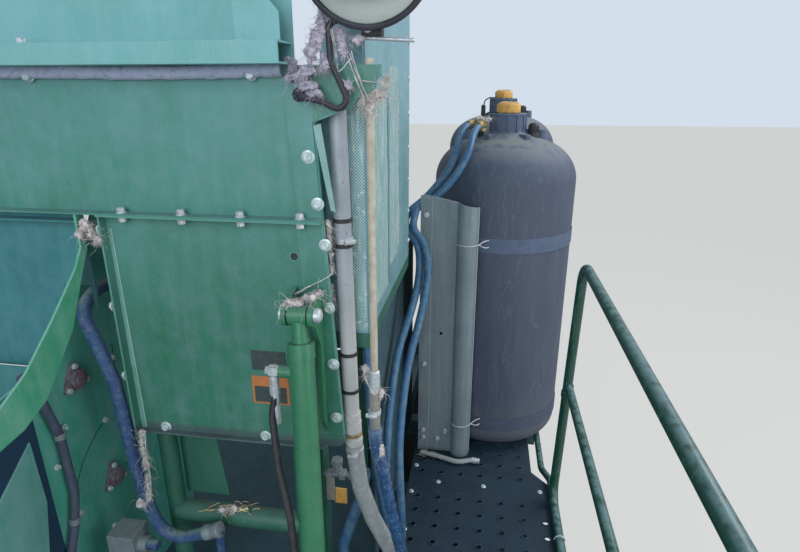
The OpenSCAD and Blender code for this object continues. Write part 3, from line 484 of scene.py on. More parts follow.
FINISHES: dict[str, Finish] = {
    # Sprayed enamel, glossy once, now dulled by dust and rubbed bright on its folds; the paler,
    # bluer top of some sheets is painted haze light
    "panel": enamel("green_enamel_on_sheet", "#23704E", "#39826E", "#769193", over=(PAINTED_HAZE_LIGHT,)),
    "panel_pale": enamel("chalked_enamel_on_sheet", "#4A9484", "#79B3AC", "#9DB8B2",
                         over=(PAINTED_HAZE_LIGHT,)),
    "panel_blue": enamel("shaded_enamel_on_sheet", "#25676B", "#3A8083", "#5E9090"),
    # Copy of the green enamel toned for the side plate, which stands in shade: its colour is
    # painted light and shade
    "panel_shade": enamel("green_enamel_in_the_lee", "#399F7E", "#57ADA2", "#98B0B6"),
    "brace": enamel("bright_enamel_on_plate", "#3B9670", "#5FAF92", "#94B8AC"),
    "gusset": enamel("green_enamel_on_a_gusset", "#2C6E57", "#3F826E", "#7B9F98"),
    "rubbed": enamel("rubbed_enamel_fold", "#478874", "#68A593", "#9DB8B2"),
    # Painted light: the paler colour of the lit return fold on the upper panel
    "painted_light_fold": enamel("chalky_enamel_fold", "#6B978B", "#8DB0A6", "#AABCB8"),
    # Rail enamel: its dark base is partly painted shade, as the rail's near side lies in shade
    "tube": Finish("green_enamel_on_tube", "#103E31", (
        cloud("#19493B", 160, 0.55, 0.6, 0.4), speck("#6F8A7C", 8, 0.1, 0.35),
        lying_dust("#7C9CA0", 24, 0.6, 0.4), scratch("#5C8F78", 60, 0.5, 0.4)),
        roughness=0.3, coat=0.3, grain=1.8, grain_height=0.02),
    "cylinder": Finish("green_enamel_on_a_cylinder", "#1E6A45", (
        below("#144A33", 940, 0.5, 0.7, 260), cloud("#2D7D53", 90, 0.55, 0.6, 0.4),
        cloud("#476D5C", 30, 0.3, 0.4, 0.3), lying_dust("#6A857A", 20, 0.75, 0.6),
        speck("#809C91", 7, 0.12, 0.45), edge_wear("#5FA58B", 1.4, 0.5, 0.7)),
        roughness=0.33, coat=0.35, grain=1.8, grain_height=0.02, rounding=1.4),
    "frame": enamel("dark_enamel_on_box_section", "#1B4044", "#2C585C", "#5E6A68"),
    "tube_low": enamel("shaded_enamel_on_tube", "#1A5542", "#296650", "#4E6A5C"),
    # Belly pan: its dark colour is painted shade, as hardly any light gets there, with dust and
    # chaff
    "pan": Finish("oily_belly_pan", "#284750", (
        cloud("#3C5A60", 70, 0.5, 0.6, 0.3), cloud("#56594F", 20, 0.26, 0.6, 0.15),
        speck("#6E6650", 11, 0.13, 0.6)), roughness=0.8, grain=3.0, grain_height=0.4),
    "wall": enamel("sprayed_enamel_on_wall_sheet", "#507C7E", "#6F9698", "#9DAFB2",
                   over=(PAINTED_HAZE_LIGHT,)),
    # Lower panel: rubbed flange edges, dark grey along its bottom fold, and painted haze light
    # towards its top
    "panel_low": enamel("rubbed_enamel_on_sheet", "#1E6647", "#317664", "#6B8789", over=(
        edge_wear("#8CC0B2", 3.0, 0.5, 0.7), below("#454C50", 848, 0.5, 0.95, 8),
        above("#79B5AE", 1480, 0.5, 0.55, 400))),
    # Deck enamel walked through to the metal on the raised rims, whose pale edges are also a
    # painted highlight, with dried mud between
    "deck": Finish("walked_enamel_deck", "#08222F", (
        cloud("#0F303F", 120, 0.6, 0.7, 0.3), cloud("#24363E", 34, 0.34, 0.5, 0.25),
        speck("#4A6470", 9, 0.14, 0.45), speck("#04141D", 17, 0.18, 0.5),
        edge_wear("#4A6A7C", 1.4, 0.5, 0.85)),
        roughness=0.55, grain=2.2, grain_height=0.12, rounding=1.2),
    # Painted sheet of the cradle, cool grey; its pale lips are partly rubbed and partly painted
    # highlight
    "grey_sheet": Finish("grey_enamel_on_sheet", "#707F83", (
        cloud("#8B9897", 210, 0.6, 0.6, 0.35), streak("#4F5A5A", 24, 0.36, 0.4, 0.3),
        speck("#B4B7AE", 14, 0.13, 0.5), edge_wear("#C9D0CC", 1.8, 0.5, 0.9)),
        roughness=0.45, metallic=0.15, grain=1.5, grain_height=0.02, wave_height=0.8,
        rounding=1.5),
    # Rotomoulded polyethylene: dull, faintly pebbled, with dust and rub marks, and a bluish
    # painted light on its top
    "tank": Finish("rotomoulded_polyethylene", "#3C4455", (
        cloud("#495363", 300, 0.55, 0.7, 0.4), streak("#5F656F", 40, 0.34, 0.3, 0.35),
        speck("#6E747B", 18, 0.12, 0.4, 0.12), scratch("#79808A", 80, 0.4, 0.35),
        lying_dust("#8F8D7D", 40, 0.75, 0.5), above("#7288AA", 1560, 0.5, 0.4, 170),
        below("#686A62", 330, 0.5, 0.45, 150)),
        roughness=0.52, grain=1.6, grain_height=0.08, wave=180.0, wave_height=0.5, ior=1.51),
    # Injection-moulded cap, bright, with dust in its grooves
    "cap": Finish("moulded_polypropylene", "#CB963E", (
        cloud("#D5AD65", 40, 0.5, 0.5, 0.3), cloud("#7D6137", 12, 0.3, 0.5, 0.2),
        lying_dust("#C2B191", 15, 0.6, 0.5)),
        roughness=0.4, grain=1.2, grain_height=0.03, rounding=1.2),
    # Rubber strap, darker low down: painted shade on the lower strap
    "strap": Finish("rubber_strap", "#4B586E", (
        cloud("#5F6C80", 40, 0.5, 0.6, 0.3), below("#3B4250", 620, 0.5, 0.85, 200),
        speck("#828B89", 10, 0.14, 0.4)), roughness=0.62, grain=1.0, grain_height=0.06),
    # Extruded hoses: smooth skins with dust that has dried on in bands and smears
    "hose_blue": Finish("nylon_braided_blue_hose", "#28577C", (
        cloud("#407190", 60, 0.5, 0.6, 0.3), cloud("#7C8D86", 22, 0.3, 0.5, 0.25),
        speck("#9FA493", 8, 0.14, 0.4)),
        roughness=0.42, coat=0.2, grain=1.4, grain_height=0.05),
    "hose_navy": Finish("wrapped_navy_hose", "#1F3D69", (
        cloud("#325172", 34, 0.5, 0.7, 0.25), cloud("#698075", 14, 0.26, 0.5, 0.25),
        lying_dust("#7D9375", 12, 0.8, 0.6)),
        roughness=0.5, coat=0.1, grain=5.0, grain_height=0.5),
    "hose_wrap": Finish("film_wrapped_hose", "#234E78", (
        above("#8496A4", 880, 0.5, 0.85, 40), cloud("#567A94", 18, 0.34, 0.55, 0.2),
        cloud("#1F3659", 30, 0.4, 0.7, 0.2), speck("#C9CDD0", 9, 0.16, 0.5)),
        roughness=0.28, coat=0.6, grain=9.0, grain_height=1.6),
    "hose_slate": Finish("dusty_rubber_hose", "#3C4454", (
        cloud("#545D6E", 26, 0.5, 0.6, 0.3), speck("#808792", 7, 0.12, 0.4)),
        roughness=0.6, grain=1.0, grain_height=0.05),
    # Dark colour of the real seams, and painted shade where it covers the side plate below the
    # brace
    "dark_seam_and_painted_shade": Finish("oiled_sheet_in_the_dark", "#173A52", roughness=0.9),
    # Painted shade behind the brace
    "shade": Finish("dark_enamel_behind_the_brace", "#12403F", (
        cloud("#1D4A4A", 30, 0.5, 0.6, 0.3),), roughness=0.8),
    "hose_black": Finish("hydraulic_hose_rubber", "#1B1D20", (
        cloud("#3A3B3B", 22, 0.5, 0.6, 0.3), speck("#77756B", 7, 0.14, 0.5)),
        roughness=0.55, grain=1.0, grain_height=0.05),
    "hose_grey": Finish("ribbed_vinyl_hose", "#9A9F9C", (
        cloud("#80867F", 40, 0.45, 0.6, 0.3), cloud("#B9BBB6", 20, 0.35, 0.6, 0.2)),
        roughness=0.5, grain=1.5, grain_height=0.08),
    # Galvanised pipe: dull zinc with a faint bloom, and paler towards its foot
    "zinc_pipe": Finish("galvanised_pipe", "#A3AAAE", (
        cloud("#8E9396", 60, 0.5, 0.6, 0.3), streak("#8A8D8E", 18, 0.33, 0.5, 0.25),
        speck("#5F4A3E", 22, 0.1, 0.6), below("#CBC8BE", 1180, 0.5, 0.75, 160)),
        roughness=0.5, metallic=0.35, grain=2.0, grain_height=0.08),
    "tan_line": Finish("coated_line", "#AEA48E", (
        streak("#C6C3B4", 12, 0.5, 0.6, 0.3), cloud("#766858", 30, 0.35, 0.5, 0.25),
        below("#596160", 1030, 0.5, 0.8, 60)),
        roughness=0.36, coat=0.25, grain=1.5, grain_height=0.03),
    # Zinc plate on fasteners and fittings, grey with a little white bloom
    "zinc": Finish("zinc_plated_steel", "#CCD3D6", (
        cloud("#98A0A2", 9, 0.45, 0.5, 0.3), cloud("#7E6A50", 5, 0.24, 0.5, 0.2),
        lying_dust("#C8C5B5", 6, 0.6, 0.5)),
        roughness=0.36, metallic=0.75, grain=0.8, grain_height=0.03, rounding=0.5),
    # Painted highlight: a bright strip standing for light along sheet edges
    "bare_edge": Finish("rubbed_sheet_edge", "#B9C6C6", (
        cloud("#8E9C9C", 22, 0.4, 0.6, 0.3),),
        roughness=0.4, metallic=0.4, grain=1.0, grain_height=0.02),
    "bolt": Finish("flange_bolt_steel", "#C2CDCB", (
        cloud("#6E9F88", 14, 0.38, 0.55, 0.2), edge_wear("#DDE3DE", 0.9, 0.5, 0.8)),
        roughness=0.4, metallic=0.45, grain=0.8, grain_height=0.04, rounding=0.6),
    "steel_block": Finish("cast_valve_steel", "#7F8B8B", (
        cloud("#5D6766", 30, 0.5, 0.6, 0.3), speck("#A8A99D", 8, 0.15, 0.5),
        edge_wear("#B9C2C0", 1.6, 0.5, 0.7)),
        roughness=0.5, metallic=0.3, grain=1.6, grain_height=0.12, rounding=1.6),
    "brass": Finish("turned_brass", "#A98F58", (
        cloud("#6E6248", 8, 0.45, 0.6, 0.25), lying_dust("#B8B09A", 6, 0.6, 0.5)),
        roughness=0.38, metallic=0.7, grain=0.8, grain_height=0.03, rounding=0.6),
    "rust": Finish("rusted_casting", "#64515A", (
        cloud("#785E66", 18, 0.5, 0.7, 0.25), cloud("#5C7F74", 26, 0.3, 0.6, 0.2),
        cloud("#9A9298", 9, 0.3, 0.5, 0.2), edge_wear("#A8AEB2", 1.6, 0.5, 0.7),
        speck("#2E2020", 6, 0.2, 0.5)),
        roughness=0.85, grain=2.0, grain_height=0.35, rounding=1.0),
    "screen": Finish("woven_screen_in_enamel", "#44706C", (
        cloud("#7C9A96", 90, 0.5, 0.5, 0.3), streak("#C6D0CE", 9, 0.28, 0.7, 0.1),
        mesh("#B0C8C5", 5.0, 0.5, 0.85), cloud("#CBD2D0", 14, 0.2, 0.7, 0.1)),
        roughness=0.6, grain=4.0, grain_height=0.3),
    "mirror_back": Finish("black_moulding", "#26262E", (
        cloud("#3C3A42", 30, 0.5, 0.5, 0.3), lying_dust("#857C7C", 20, 0.7, 0.5)),
        roughness=0.45, grain=1.0, grain_height=0.03),
    "mirror": Finish("silvered_glass", "#C9D6D8", (
        cloud("#B9B5A6", 30, 0.34, 0.25, 0.3),),
        roughness=0.06, metallic=1.0, grain=40.0, grain_height=0.0),
    # Cotton that the wind packed into corners: matt fibre, greyed by dust
    "lint": Finish("matted_cotton_lint", "#B9AFAA", (
        cloud("#D9D3CC", 9, 0.55, 0.8, 0.25), cloud("#7D6D68", 13, 0.34, 0.7, 0.2),
        speck("#5B4238", 7, 0.14, 0.7)),
        roughness=0.95, grain=2.0, grain_height=0.8, sheen=0.4),
    "lint_grey": Finish("weathered_cotton_lint", "#A49CAC", (
        cloud("#D2CACC", 9, 0.45, 0.8, 0.25), cloud("#7A7284", 15, 0.36, 0.7, 0.2),
        speck("#4F3C3C", 6, 0.14, 0.7)),
        roughness=0.95, grain=2.0, grain_height=0.8, sheen=0.4),
    "husk": Finish("dry_husk", "#D4CB9C", (
        cloud("#A99A6C", 9, 0.4, 0.6, 0.2),), roughness=0.8, grain=1.0, grain_height=0.1),
    "plate_dark": Finish("blank_dark_film", "#2E3B38", (
        cloud("#4C5753", 14, 0.4, 0.5, 0.3),), roughness=0.5, grain=1.0, grain_height=0.02),
    "plate_amber": Finish("blank_amber_film", "#B5703A", (
        cloud("#8F6444", 14, 0.4, 0.5, 0.3),), roughness=0.5, grain=1.0, grain_height=0.02),
    # Seal: its pale purple-grey is partly lint, partly painted haze light over a dark strip
    "seal": Finish("felt_seal_with_lint", "#99A5BC", (
        cloud("#A5AABC", 18, 0.5, 0.7, 0.3), cloud("#5F667A", 9, 0.26, 0.6, 0.2),
        cloud("#B3AFBB", 6, 0.26, 0.6, 0.2)), roughness=0.9, grain=3.0, grain_height=0.6),
    "straw": Finish("dry_stalk", "#A08A66", (
        brushed("#C2AE86", 3, 0.5, 0.7, 0.3),), roughness=0.8, grain=1.0, grain_height=0.1),
    "band": Finish("black_band", "#202224", (
        cloud("#4A4A48", 8, 0.4, 0.5, 0.3),), roughness=0.5, grain=1.0, grain_height=0.03),
}

NODE_FINISH: dict[str, str] = {
    "chassis_rails": "frame", "cross_members": "frame", "belly_pan": "pan",
    "deck_plate": "deck", "deck_frame": "frame", "hand_rail": "tube",
    "lower_panel": "panel_low", "upper_panel": "panel", "ledge": "panel_pale",
    "top_panel": "panel_pale", "left_panel": "panel_blue", "side_plate": "panel_shade",
    "side_guard": "panel_pale", "brace": "brace", "screen_wall": "wall",
    "corner_post": "wall", "cylinder_bracket": "cylinder", "cylinder_pins": "zinc",
    "cylinder_barrel": "cylinder", "cylinder_rod": "cylinder", "cylinder_base": "frame",
    "cylinder_hose": "hose_black", "bearing_flanges": "rust", "shaft_high": "rust",
    "shaft_low": "rust", "tube_frame": "tube_low", "valve_blocks": "steel_block",
    "suction_hose": "hose_navy", "side_hose": "hose_black", "air_pipe": "zinc_pipe",
    "air_hose": "hose_grey", "pipe_clamps": "band", "thin_line": "tan_line",
    "wrapped_hose": "hose_wrap", "tank_hoses": "hose_blue", "tank_rear": "tank",
    "tank_front": "tank", "tank_straps": "strap", "tank_cradle": "grey_sheet",
    "drain_hose": "hose_grey", "cap_rear": "cap", "cap_front": "cap",
    "mirror_shell": "mirror_back", "mirror_glass": "mirror", "mirror_arm": "mirror_back",
}

SLOT_FINISHES: dict[str, tuple[str, ...]] = {
    "panel_paint": ("panel", "panel_shade", "panel_low", "brace", "gusset", "tube_low",
                    "wall", "tube", "cylinder", "screen"),
    "pale_paint": ("panel_pale", "panel_blue", "painted_light_fold", "rubbed"),
    "frame_paint": ("frame", "dark_seam_and_painted_shade", "shade", "pan"), "deck_paint": ("deck",),
    "sheet_grey": ("grey_sheet", "bare_edge"), "tank_plastic": ("tank",),
    "cap_plastic": ("cap", "plate_amber"), "strap_rubber": ("strap",),
    "hose_blue": ("hose_blue", "hose_navy", "hose_wrap"),
    "hose_black": ("hose_black", "hose_slate"), "hose_grey": ("hose_grey",),
    "pipe_zinc": ("zinc_pipe",), "line_tan": ("tan_line",),
    "fitting_steel": ("zinc", "bolt", "steel_block", "brass"), "bearing_rust": ("rust",),
    "mirror_black": ("mirror_back", "plate_dark", "seal", "band"),
    "mirror_face": ("mirror",),
}
FINISH_SLOT = {key: slot for slot, keys in SLOT_FINISHES.items() for key in keys}


class Wardrobe:
    """Materials of the whole section, each made once when first asked for."""

    def __init__(self) -> None:
        """Starts with no material made."""
        self.made: dict[str, bpy.types.Material] = {}

    def get(self, key: str) -> bpy.types.Material:
        """Gives the material of a finish, made on first use.

        Args:
            key: Name of the finish.

        Returns:
            Its material.
        """
        if key not in self.made:
            self.made[key] = FINISHES[key].build()
        return self.made[key]

    def dress(self, obj: Piece, key: str) -> None:
        """Puts one finish over the whole of an object."""
        obj.data.materials.clear()
        obj.data.materials.append(self.get(key))


@dataclass(frozen=True)
class Assembly:
    """Sub-assembly of the section.

    Attributes:
        wardrobe: Materials of the whole section.
    """

    wardrobe: Wardrobe

    def issue(self, obj: Piece, key: str, body: str = "section",
              replaces: Sequence[str] = ()) -> None:
        """Dresses a finished piece and lets it ride on its body.

        Args:
            obj: Piece that is in place, with its place in its mesh.
            key: Name of its finish.
            body: Body that it rides on.
            replaces: CAD nodes that it stands for.
        """
        self.wardrobe.dress(obj, key)
        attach(obj, body)
        if replaces:
            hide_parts(*replaces)
        log.info("piece %s: %d faces", obj.name, len(obj.data.polygons))


class Bench:
    """Hand operations that the sub-assemblies share."""

    @staticmethod
    def only(*objs: Piece) -> None:
        """Selects some objects alone.

        Args:
            objs: Objects to select. The first one becomes active.
        """
        for other in list(bpy.context.selected_objects):
            other.select_set(False)
        for obj in objs:
            obj.select_set(True)
        bpy.context.view_layer.objects.active = objs[0]

    @staticmethod
    def started(name: str, primitive: Callable[..., Any], **settings: Any) -> Piece:
        """Adds a primitive with nothing else selected.

        Args:
            name: Name of the piece that it becomes.
            primitive: Blender's operator for it.
            settings: The operator's settings, in metres.

        Returns:
            The primitive, selected and active.
        """
        bpy.ops.object.select_all(action="DESELECT")
        primitive(**settings)
        obj = bpy.context.active_object
        obj.name = name
        return obj

    @staticmethod
    def meshed(name: str, curve: bpy.types.Curve) -> Piece:
        """Turns a curve into a mesh piece.

        Args:
            name: Name of the piece.
            curve: Curve with its section, used up here.

        Returns:
            The piece.
        """
        obj = bpy.data.objects.new(name, curve)
        bpy.context.scene.collection.objects.link(obj)
        Bench.only(obj)
        bpy.ops.object.convert(target="MESH")
        return bpy.context.active_object

    @staticmethod
    def worked(obj: Piece, kind: str, **settings: Any) -> Piece:
        """Applies one modifier to a piece.

        Args:
            obj: Piece that is worked on.
            kind: Blender's name for the modifier.
            settings: Its settings, in metres.

        Returns:
            The piece.
        """
        Bench.only(obj)
        modifier = obj.modifiers.new(kind.lower(), kind)
        for key, value in settings.items():
            setattr(modifier, key, value)
        bpy.ops.object.modifier_apply(modifier=modifier.name)
        return obj

    @staticmethod
    def settle(obj: Piece, at: Vector, axis: Vector = UP, about: float = 0.0) -> Piece:
        """Turns a piece's own Z to an axis, moves it and keeps the place in its mesh.

        Args:
            obj: Piece modelled round the origin along Z.
            at: Where its origin goes.
            axis: Direction that its Z turns to.
            about: Turn about that axis in radians.

        Returns:
            The piece.
        """
        turn = axis.to_track_quat("Z", "Y").to_matrix().to_4x4()
        obj.data.transform(Matrix.Translation(at) @ turn @ Matrix.Rotation(about, 4, "Z"))
        return obj

    @staticmethod
    def smooth(obj: Piece, angle: float = 35.0) -> Piece:
        """Shades a piece smooth.

        Args:
            obj: Piece that is worked on.
            angle: Angle in degrees up to which an edge is smooth.

        Returns:
            The piece.
        """
        Bench.only(obj)
        bpy.ops.object.shade_smooth_by_angle(angle=math.radians(angle))
        return obj

    @staticmethod
    def bevelled(obj: Piece, width: float, segments: int = 2, angle: float = 40.0) -> Piece:
        """Rounds a piece's sharp edges.

        Args:
            obj: Piece that is worked on.
            width: Width of the rounding in millimetres.
            segments: Faces across it.
            angle: Least angle in degrees at which an edge is sharp.

        Returns:
            The piece.
        """
        return Bench.worked(obj, "BEVEL", width=width * MM, segments=segments,
                            limit_method="ANGLE", angle_limit=math.radians(angle))

    @staticmethod
    def outward() -> None:
        """Points the faces of the piece in edit mode outwards and leaves edit mode."""
        bpy.ops.mesh.normals_make_consistent(inside=False)
        bpy.ops.object.mode_set(mode="OBJECT")

    @staticmethod
    def join(name: str, parts: Sequence[Piece]) -> Piece:
        """Joins pieces into one.

        Args:
            name: Name of the joined piece.
            parts: Two or more pieces.

        Returns:
            The joined piece.
        """
        Bench.only(*parts)
        bpy.ops.object.join()
        obj = bpy.context.view_layer.objects.active
        obj.name = name
        return obj

    @staticmethod
    def turned(name: str, profile: Sequence[tuple[float, float]], sides: int = 48) -> Piece:
        """Turns a profile round Z, ring by ring, with extrude and resize.

        Args:
            name: Name of the piece.
            profile: Radius and height of each ring, from one end to the other.
            sides: Faces round the piece.

        Returns:
            The closed piece at the origin.
        """
        rings = [(radius * MM, height * MM) for radius, height in profile]
        radius, height = rings[0]
        obj = Bench.started(name, bpy.ops.mesh.primitive_circle_add, vertices=sides,
                            radius=radius, fill_type="NGON", location=(0, 0, height))
        bpy.ops.object.transform_apply(location=True)
        bpy.ops.object.mode_set(mode="EDIT")
        for new_radius, new_height in rings[1:]:
            bpy.ops.mesh.extrude_region_move(
                TRANSFORM_OT_translate={"value": (0, 0, new_height - height)})
            scale = new_radius / radius
            bpy.ops.transform.resize(value=(scale, scale, 1),
                                     center_override=(0, 0, new_height))
            radius, height = new_radius, new_height
        bpy.ops.mesh.select_all(action="SELECT")
        bpy.ops.mesh.remove_doubles(threshold=1e-6)
        Bench.outward()
        return obj

    @staticmethod
    def slab(name: str, low: Vector, high: Vector, edge: float = 0.0) -> Piece:
        """Makes a block between two corners.

        Args:
            name: Name of the piece.
            low: Its low corner.
            high: Its high corner.
            edge: Width in millimetres that rounds its edges.

        Returns:
            The block.
        """
        obj = Bench.started(name, bpy.ops.mesh.primitive_cube_add, size=1,
                            location=(low + high) / 2)
        obj.scale = high - low
        bpy.ops.object.transform_apply(location=True, scale=True)
        return Bench.bevelled(obj, edge) if edge else obj

    @staticmethod
    def patch(name: str, corners: Sequence[Vector], push: Vector) -> Piece:
        """Makes a thin four-cornered sheet.

        Args:
            name: Name of the piece.
            corners: Its four corners in order.
            push: Direction and thickness in millimetres.

        Returns:
            The closed sheet.
        """
        obj = Bench.started(name, bpy.ops.mesh.primitive_cube_add, size=1)
        for vertex in obj.data.vertices:
            right, far, top = (c > 0 for c in vertex.co)
            number = (2 if far else 1) if right else (3 if far else 0)
            vertex.co = corners[number] + (push * MM if top else CENTRE)
        bpy.ops.object.mode_set(mode="EDIT")
        bpy.ops.mesh.select_all(action="SELECT")
        Bench.outward()
        return obj

    @staticmethod
    def swept(name: str, line: Sequence[Vector], radius: float, sides: int = 20,
              swell: Callable[[float], float] | None = None) -> Piece:
        """Runs a round section along a line.

        Args:
            name: Name of the piece.
            line: Points of the middle line.
            radius: Radius of the section in millimetres.
            sides: Faces round it.
            swell: Gives the section's scale at a distance in metres along the line.

        Returns:
            The tube as a mesh at the origin.
        """
        curve = bpy.data.curves.new(name, "CURVE")
        curve.dimensions = "3D"
        curve.bevel_depth = radius * MM
        curve.bevel_resolution = max(0, (sides - 4) // 2)
        curve.use_fill_caps = True
        curve.twist_mode = "MINIMUM"
        spline = curve.splines.new("POLY")
        spline.points.add(len(line) - 1)
        along = 0.0
        for i, point in enumerate(line):
            along += (point - line[i - 1]).length if i else 0.0
            spline.points[i].co = (*point, 1.0)
            spline.points[i].radius = swell(along) if swell else 1.0
        spline.use_smooth = True
        return Bench.meshed(name, curve)

    @staticmethod
    def copied(name: str, master: Piece,
               spots: Iterable[tuple[Vector, Vector, float]]) -> Piece:
        """Sets a copy of one model at each spot and joins them.

        Args:
            name: Name of the joined piece.
            master: Model at the origin along Z, used up here.
            spots: Place, direction and turn of each copy.

        Returns:
            All copies as one object.
        """
        parts = []
        for at, axis, about in spots:
            twin = master.copy()
            twin.data = master.data.copy()
            bpy.context.scene.collection.objects.link(twin)
            parts.append(Bench.settle(twin, at, axis, about))
        bpy.data.objects.remove(master)
        return Bench.join(name, parts)


def waves(*runs: tuple[float, float]) -> Callable[[float], float]:
    """Gives the scale of a ribbed or wrapped hose's section along its length.

    Args:
        runs: Height of each wave as a share of the radius, and its length in metres.

    Returns:
        Function that gives the scale at a distance in metres.
    """
    return lambda along: 1.0 + sum(height * math.sin(along / length * math.tau)
                                   for height, length in runs)


@dataclass(frozen=True)
class Route:
    """Middle line of a bent tube or hose.

    Attributes:
        points: Corners of the line in the deck's millimetres.
        bend: Radius of its bends in millimetres.
    """

    points: tuple[Point, ...]
    bend: float

    def line(self, step: float = 7.0) -> list[Vector]:
        """Rounds each corner and gives the line in metres.

        Args:
            step: Turn between two points of a bend in degrees.

        Returns:
            Points of the line.
        """
        corners = [Vector(p) for p in self.points]
        out = [corners[0]]
        for before, corner, after in zip(corners, corners[1:], corners[2:]):
            u, v = (corner - before).normalized(), (after - corner).normalized()
            turn = math.acos(max(-1.0, min(1.0, u.dot(v))))
            if turn < math.radians(1):
                out.append(corner)
                continue
            n = (v - u * u.dot(v)).normalized()
            centre = corner - u * (self.bend * math.tan(turn / 2)) + n * self.bend
            steps = max(2, math.ceil(math.degrees(turn) / step))
            for j in range(steps + 1):
                a = turn * j / steps
                out.append(centre - n * (self.bend * math.cos(a))
                           + u * (self.bend * math.sin(a)))
        out.append(corners[-1])
        return [place(*p) for p in out]

    def flow(self, steps: int = 8) -> list[Vector]:
        """Lets the line swing past its corners, as a slack hose does.

        Args:
            steps: Points for each corner.

        Returns:
            Points of the line in metres, from end to end.
        """
        corners = [place(*p) for p in self.points]
        middles = [a.lerp(b, 0.5) for a, b in zip(corners, corners[1:])]
        middles[0], middles[-1] = corners[0], corners[-1]
        out = [corners[0]]
        for before, corner, after in zip(middles, corners[1:], middles[1:]):
            for j in range(1, steps + 1):
                t = j / steps
                out.append(before.lerp(corner, t).lerp(corner.lerp(after, t), t))
        return out

    def even(self, spacing: float) -> list[Vector]:
        """Gives the rounded line in even steps.

        Args:
            spacing: Distance between points in millimetres.

        Returns:
            Points of the line.
        """
        line = self.line(4.0)
        out = [line[0]]
        left = spacing * MM
        for a, b in zip(line, line[1:]):
            length = (b - a).length
            run = 0.0
            while length - run >= left:
                run += left
                out.append(a.lerp(b, run / length))
                left = spacing * MM
            left -= length - run
        return out


@dataclass(frozen=True)
class Studio:
    """Camera at the photograph's place, pale floor and soft lamps.

    Attributes:
        eye: Camera's place in the deck's millimetres.
        lens: Focal length in millimetres on a 36 mm sensor.
        right: Camera's right.
        up: Camera's up.
        ahead: Camera's view.
    """

    eye: Point = (245.0, -1150.0, 1500.0)
    lens: float = 24.75
    right: Point = (0.9885, 0.1513, 0.0)
    up: Point = (-0.0485, 0.3169, 0.9472)
    ahead: Point = (-0.1433, 0.9363, -0.3206)

    def build(self) -> None:
        """Sets up the camera, the floor, the world and the lamps."""
        data = bpy.data.cameras.new("photo_camera")
        data.lens = self.lens
        data.sensor_width = SENSOR_WIDTH
        camera = bpy.data.objects.new("photo_camera", data)
        bpy.context.scene.collection.objects.link(camera)
        right, up = Vector(self.right).normalized(), Vector(self.up).normalized()
        back = -Vector(self.ahead).normalized()
        turn = Matrix((right, up, back)).transposed().to_4x4()
        camera.matrix_world = Matrix.Translation(place(*self.eye)) @ turn
        bpy.context.scene.camera = camera
        bpy.context.scene.view_settings.view_transform = "Standard"
        self.floor()
        self.world()
        self.lamp("key", (2600, 1900, 3600), (100, 300, 700), 2.2, 100.0, "#F2F5FF")
        self.lamp("fill", (-300, -4200, 2500), (-300, 0, 1000), 3.4, 150.0, "#E6F0FF")
        self.lamp("side", (3600, -900, 1500), (0, 300, 800), 2.4, 50.0, "#F4F8FF")

    @staticmethod
    def lamp(name: str, at: Point, to: Point, size: float, power: float,
             color: str) -> None:
        """Hangs one soft lamp.

        Args:
            name: Name of the lamp.
            at: Its place in the deck's millimetres.
            to: Point that it is aimed at.
            size: Side of the lamp in metres.
            power: Power in watts.
            color: sRGB hex of its light.
        """
        data = bpy.data.lights.new(name, "AREA")
        data.size = size
        data.energy = power
        data.color = linear(color)[:3]
        lamp = bpy.data.objects.new(name, data)
        bpy.context.scene.collection.objects.link(lamp)
        lamp.location = place(*at)
        lamp.rotation_euler = (place(*at) - place(*to)).to_track_quat("Z", "Y").to_euler()

    @staticmethod
    def floor() -> None:
        """Lays the floor under the lowest piece, evenly pale to the camera, and a dark sheet of
        painted shadow under the deck.
        """
        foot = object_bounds()[0][2]
        obj = Studio.flat("floor", Vector((-30, -30, 0)), Vector((30, 30, 0)), foot - 0.002)
        material = bpy.data.materials.new("matt_floor")
        material.use_nodes = True
        tree = material.node_tree
        tree.nodes.clear()
        seen = add(tree, "LightPath").outputs["Is Camera Ray"]
        lit = add(tree, "BsdfPrincipled", {
            "Base Color": linear("#B9B2A6"), "Roughness": 0.95}).outputs[0]
        pale = add(tree, "Emission", {"Color": linear("#DDE0E0")}).outputs[0]
        mixed = add(tree, "MixShader", {0: calc(tree, "MULTIPLY", seen, 0.8), 1: lit,
                                        2: pale}).outputs[0]
        add(tree, "OutputMaterial", {"Surface": mixed})
        obj.data.materials.append(material)
        obj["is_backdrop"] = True
        # Painted shadow: a dark sheet on the ground under the deck
        shade = Studio.flat("ground_under_the_deck", place(-1000, -890, 0),
                            place(545, 2380, 0), foot - 0.001)
        shade.data.materials.append(Finish("bare_ground", "#1A1D1C", roughness=0.95).build())
        shade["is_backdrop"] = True

    @staticmethod
    def flat(name: str, low: Vector, high: Vector, height: float) -> Piece:
        """Lays a flat sheet of the ground.

        Args:
            name: Name of the sheet.
            low: Its low corner, in metres as all here.
            high: Its high corner.
            height: Height at which it lies.

        Returns:
            The sheet.
        """
        middle = (low + high) / 2
        obj = Bench.started(name, bpy.ops.mesh.primitive_plane_add, size=1,
                            location=(middle.x, middle.y, height))
        obj.scale = (high.x - low.x, high.y - low.y, 1)
        bpy.ops.object.transform_apply(location=True, scale=True)
        return obj

    @staticmethod
    def world() -> None:
        """Makes the pale surroundings, a little brighter to the camera than to the part."""
        world = bpy.data.worlds.new("studio")
        bpy.context.scene.world = world
        world.use_nodes = True
        tree = world.node_tree
        tree.nodes.clear()
        seen = add(tree, "LightPath").outputs["Is Camera Ray"]
        sky = add(tree, "Background", {
            "Color": linear("#DDE9F6"),
            "Strength": ranged(tree, seen, 0.0, 1.0, 0.56, 0.9)}).outputs[0]
        add(tree, "OutputWorld", {"Surface": sky})


